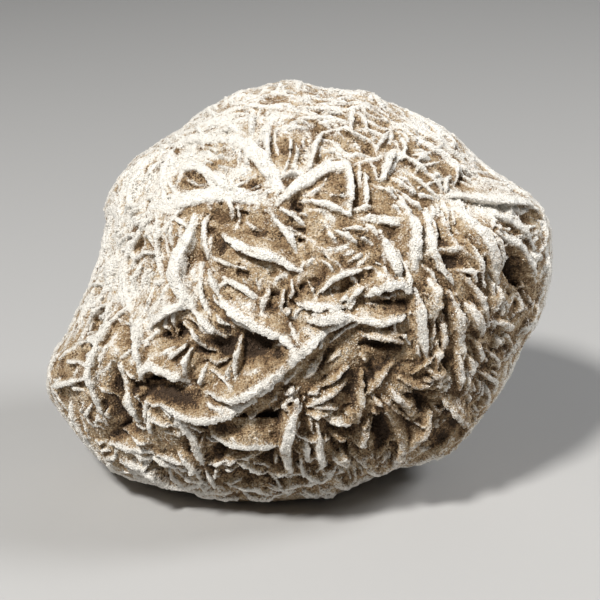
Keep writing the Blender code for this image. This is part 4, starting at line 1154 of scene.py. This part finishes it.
class Nodes:
    """Short calls to add and link nodes of one material."""

    def __init__(self, name):
        self.material = bpy.data.materials.new(name)
        self.material.use_nodes = True
        self.tree = self.material.node_tree
        self.shader = self.tree.nodes["Principled BSDF"]

    def add(self, kind, inputs=(), **settings):
        node = self.tree.nodes.new(kind)
        for key, value in settings.items():
            setattr(node, key, value)
        for key, value in dict(inputs).items():
            self.put(node.inputs[key], value)
        return node

    def put(self, socket, value):
        if isinstance(value, bpy.types.NodeSocket):
            self.tree.links.new(value, socket)
        else:
            socket.default_value = value

    def surface(self, color, roughness, specular=0.5):
        self.put(self.shader.inputs["Base Color"], color)
        self.put(self.shader.inputs["Roughness"], roughness)
        self.put(self.shader.inputs["Specular IOR Level"], specular)

    def attribute(self, name):
        return self.add("ShaderNodeAttribute", attribute_name=name).outputs["Fac"]

    def noise(self, scale, detail, roughness=0.5):
        position = self.add("ShaderNodeTexCoord").outputs["Object"]
        inputs = {"Vector": position, "Scale": scale, "Detail": detail, "Roughness": roughness}
        return self.add("ShaderNodeTexNoise", inputs).outputs["Fac"]

    def math(self, operation, a, b):
        return self.add("ShaderNodeMath", {0: a, 1: b}, operation=operation).outputs[0]

    def plus(self, value, other, times):
        """A value with a multiple of another added to it."""
        return self.math("ADD", value, self.math("MULTIPLY", other, times))

    def range(self, value, low, high):
        """0 below the low value, 1 above the high one, and a smooth step between."""
        inputs = {"Value": value, "From Min": low, "From Max": high}
        return self.add("ShaderNodeMapRange", inputs, interpolation_type="SMOOTHSTEP").outputs[0]

    def mix(self, factor, a, b):
        node = self.add("ShaderNodeMix", data_type="RGBA")
        for index, value in ((0, factor), (6, a), (7, b)):
            self.put(node.inputs[index], value)
        return node.outputs[2]

    def ramp(self, value, stops):
        node = self.add("ShaderNodeValToRGB", {"Fac": value})
        ramp = node.color_ramp
        while len(ramp.elements) < len(stops):
            ramp.elements.new(0.5)
        for element, (at, color) in zip(ramp.elements, stops):
            element.position = at
            element.color = color
        return node.outputs["Color"]


def stone_material():
    nodes = Nodes("gypsum_and_sand")
    grain = nodes.noise(3400, 1.0)
    patch = nodes.noise(380, 3.0, 0.62)
    fleck = nodes.noise(1500, 3.0, 0.7)
    blend = nodes.plus(nodes.math("MULTIPLY", grain, 0.45), patch, 0.85)
    # painted shade: deep places and hollows darken the sand
    blend = nodes.plus(blend, nodes.attribute("painted_recess_shade"), -0.30)
    # below 0, the mix of wear, dust and painted light darkens the sand: painted shade in hollows,
    # pockets, recesses and low on the right, and some darker sand
    painted_shade_and_dark_sand = nodes.math("MINIMUM", nodes.attribute("wear_dust_and_painted_light"), 0.0)
    blend = nodes.plus(blend, painted_shade_and_dark_sand, 0.28)
    sand = nodes.ramp(blend, [(0.34, DARK), (0.46, BROWN), (0.61, TAN), (0.76, CREAM), (0.90, POWDER)])
    wear_dust_and_painted_light = nodes.plus(nodes.plus(nodes.attribute("wear_dust_and_painted_light"), fleck, 1.7), grain, 1.2)
    white = nodes.range(wear_dust_and_painted_light, 1.82, 2.55)
    nodes.surface(nodes.mix(white, sand, POWDER), 0.92, 0.25)
    bumps = nodes.plus(nodes.math("MULTIPLY", grain, 0.6), fleck, 0.9)
    bump = nodes.add("ShaderNodeBump", {"Strength": 1.0, "Distance": BUMP, "Height": bumps})
    nodes.put(nodes.shader.inputs["Normal"], bump.outputs[0])
    return nodes.material


def grain_material():
    nodes = Nodes("sand_grains")
    tone = nodes.attribute("tone")
    # painted shade: grains in deep places and hollows are darker
    value = nodes.plus(tone, nodes.attribute("painted_recess_shade"), -0.50)
    # and below 0 it darkens them more: painted shade, and some darker sand
    painted_shade_and_dark_sand = nodes.math("MINIMUM", nodes.attribute("wear_dust_and_painted_light"), 0.0)
    value = nodes.plus(value, painted_shade_and_dark_sand, 0.48)
    sand = nodes.ramp(value, [(0.10, DARK), (0.27, BROWN), (0.50, TAN), (0.72, CREAM), (0.92, POWDER)])
    white = nodes.range(nodes.plus(nodes.attribute("wear_dust_and_painted_light"), tone, 0.9), 0.80, 1.55)
    nodes.surface(nodes.mix(white, sand, POWDER), 0.8, 0.35)
    return nodes.material


def floor_material():
    nodes = Nodes("pale_floor")
    nodes.surface(PALE, 0.9)
    return nodes.material


# ---- stage, light and camera

FLOOR_HALF = 1.5
LIGHTS = [
    # name, position, size in metres, power in watts, colour
    ("key", (-0.28, -0.50, 0.64), 0.12, 8.7, (1.0, 0.985, 0.96)),
    ("fill", (0.62, -0.05, 0.58), 0.3, 3.6, (0.97, 0.98, 1.0)),
    ("back", (0.1, 0.7, 0.45), 0.5, 0.5, (1, 1, 1)),
]
SKY = (0.9, 0.92, 0.95, 1)
SKY_STRENGTH = 0.09


def build_stage():
    """A flat pale floor, wide enough for a camera on any side."""
    mesh = bpy.data.meshes.new("floor")
    corners = [(FLOOR_HALF * x, FLOOR_HALF * y, 0) for x, y in ((-1, -1), (1, -1), (1, 1), (-1, 1))]
    mesh.from_pydata(corners, [], [(0, 1, 2, 3)])
    floor = add_piece(mesh, floor_material())


def build_light():
    for name, position, size, power, color in LIGHTS:
        light = bpy.data.lights.new(name, "AREA")
        light.shape = "DISK"
        light.size = size
        light.energy = power
        light.color = color
        lamp = add_object(name, light)
        lamp.location = position
        aim = Vector(CENTRE) - Vector(position)
        lamp.rotation_euler = aim.to_track_quat("-Z", "Y").to_euler()
    world = bpy.data.worlds.new("studio")
    bpy.context.scene.world = world
    world.use_nodes = True
    background = world.node_tree.nodes["Background"]
    background.inputs["Color"].default_value = SKY
    background.inputs["Strength"].default_value = SKY_STRENGTH
    bpy.context.scene.view_settings.view_transform = "Standard"


def build_camera():
    camera = bpy.data.cameras.new("camera")
    camera.lens = 100
    camera.sensor_width = 36
    camera.clip_start = 0.01
    holder = add_object("camera", camera)
    holder.location = Vector(CENTRE) + Vector(NEAR) * EYE_DISTANCE
    holder.rotation_euler = (math.pi / 2 - EYE_TILT, 0, 0)
    bpy.context.scene.camera = holder


build_camera()
build_stage()
build_light()
stone, surface = build_stone(stone_material())
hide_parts("sand_rose")
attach(stone, "root")
for piece in build_grains(surface, grain_material()):
    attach(piece, "root")
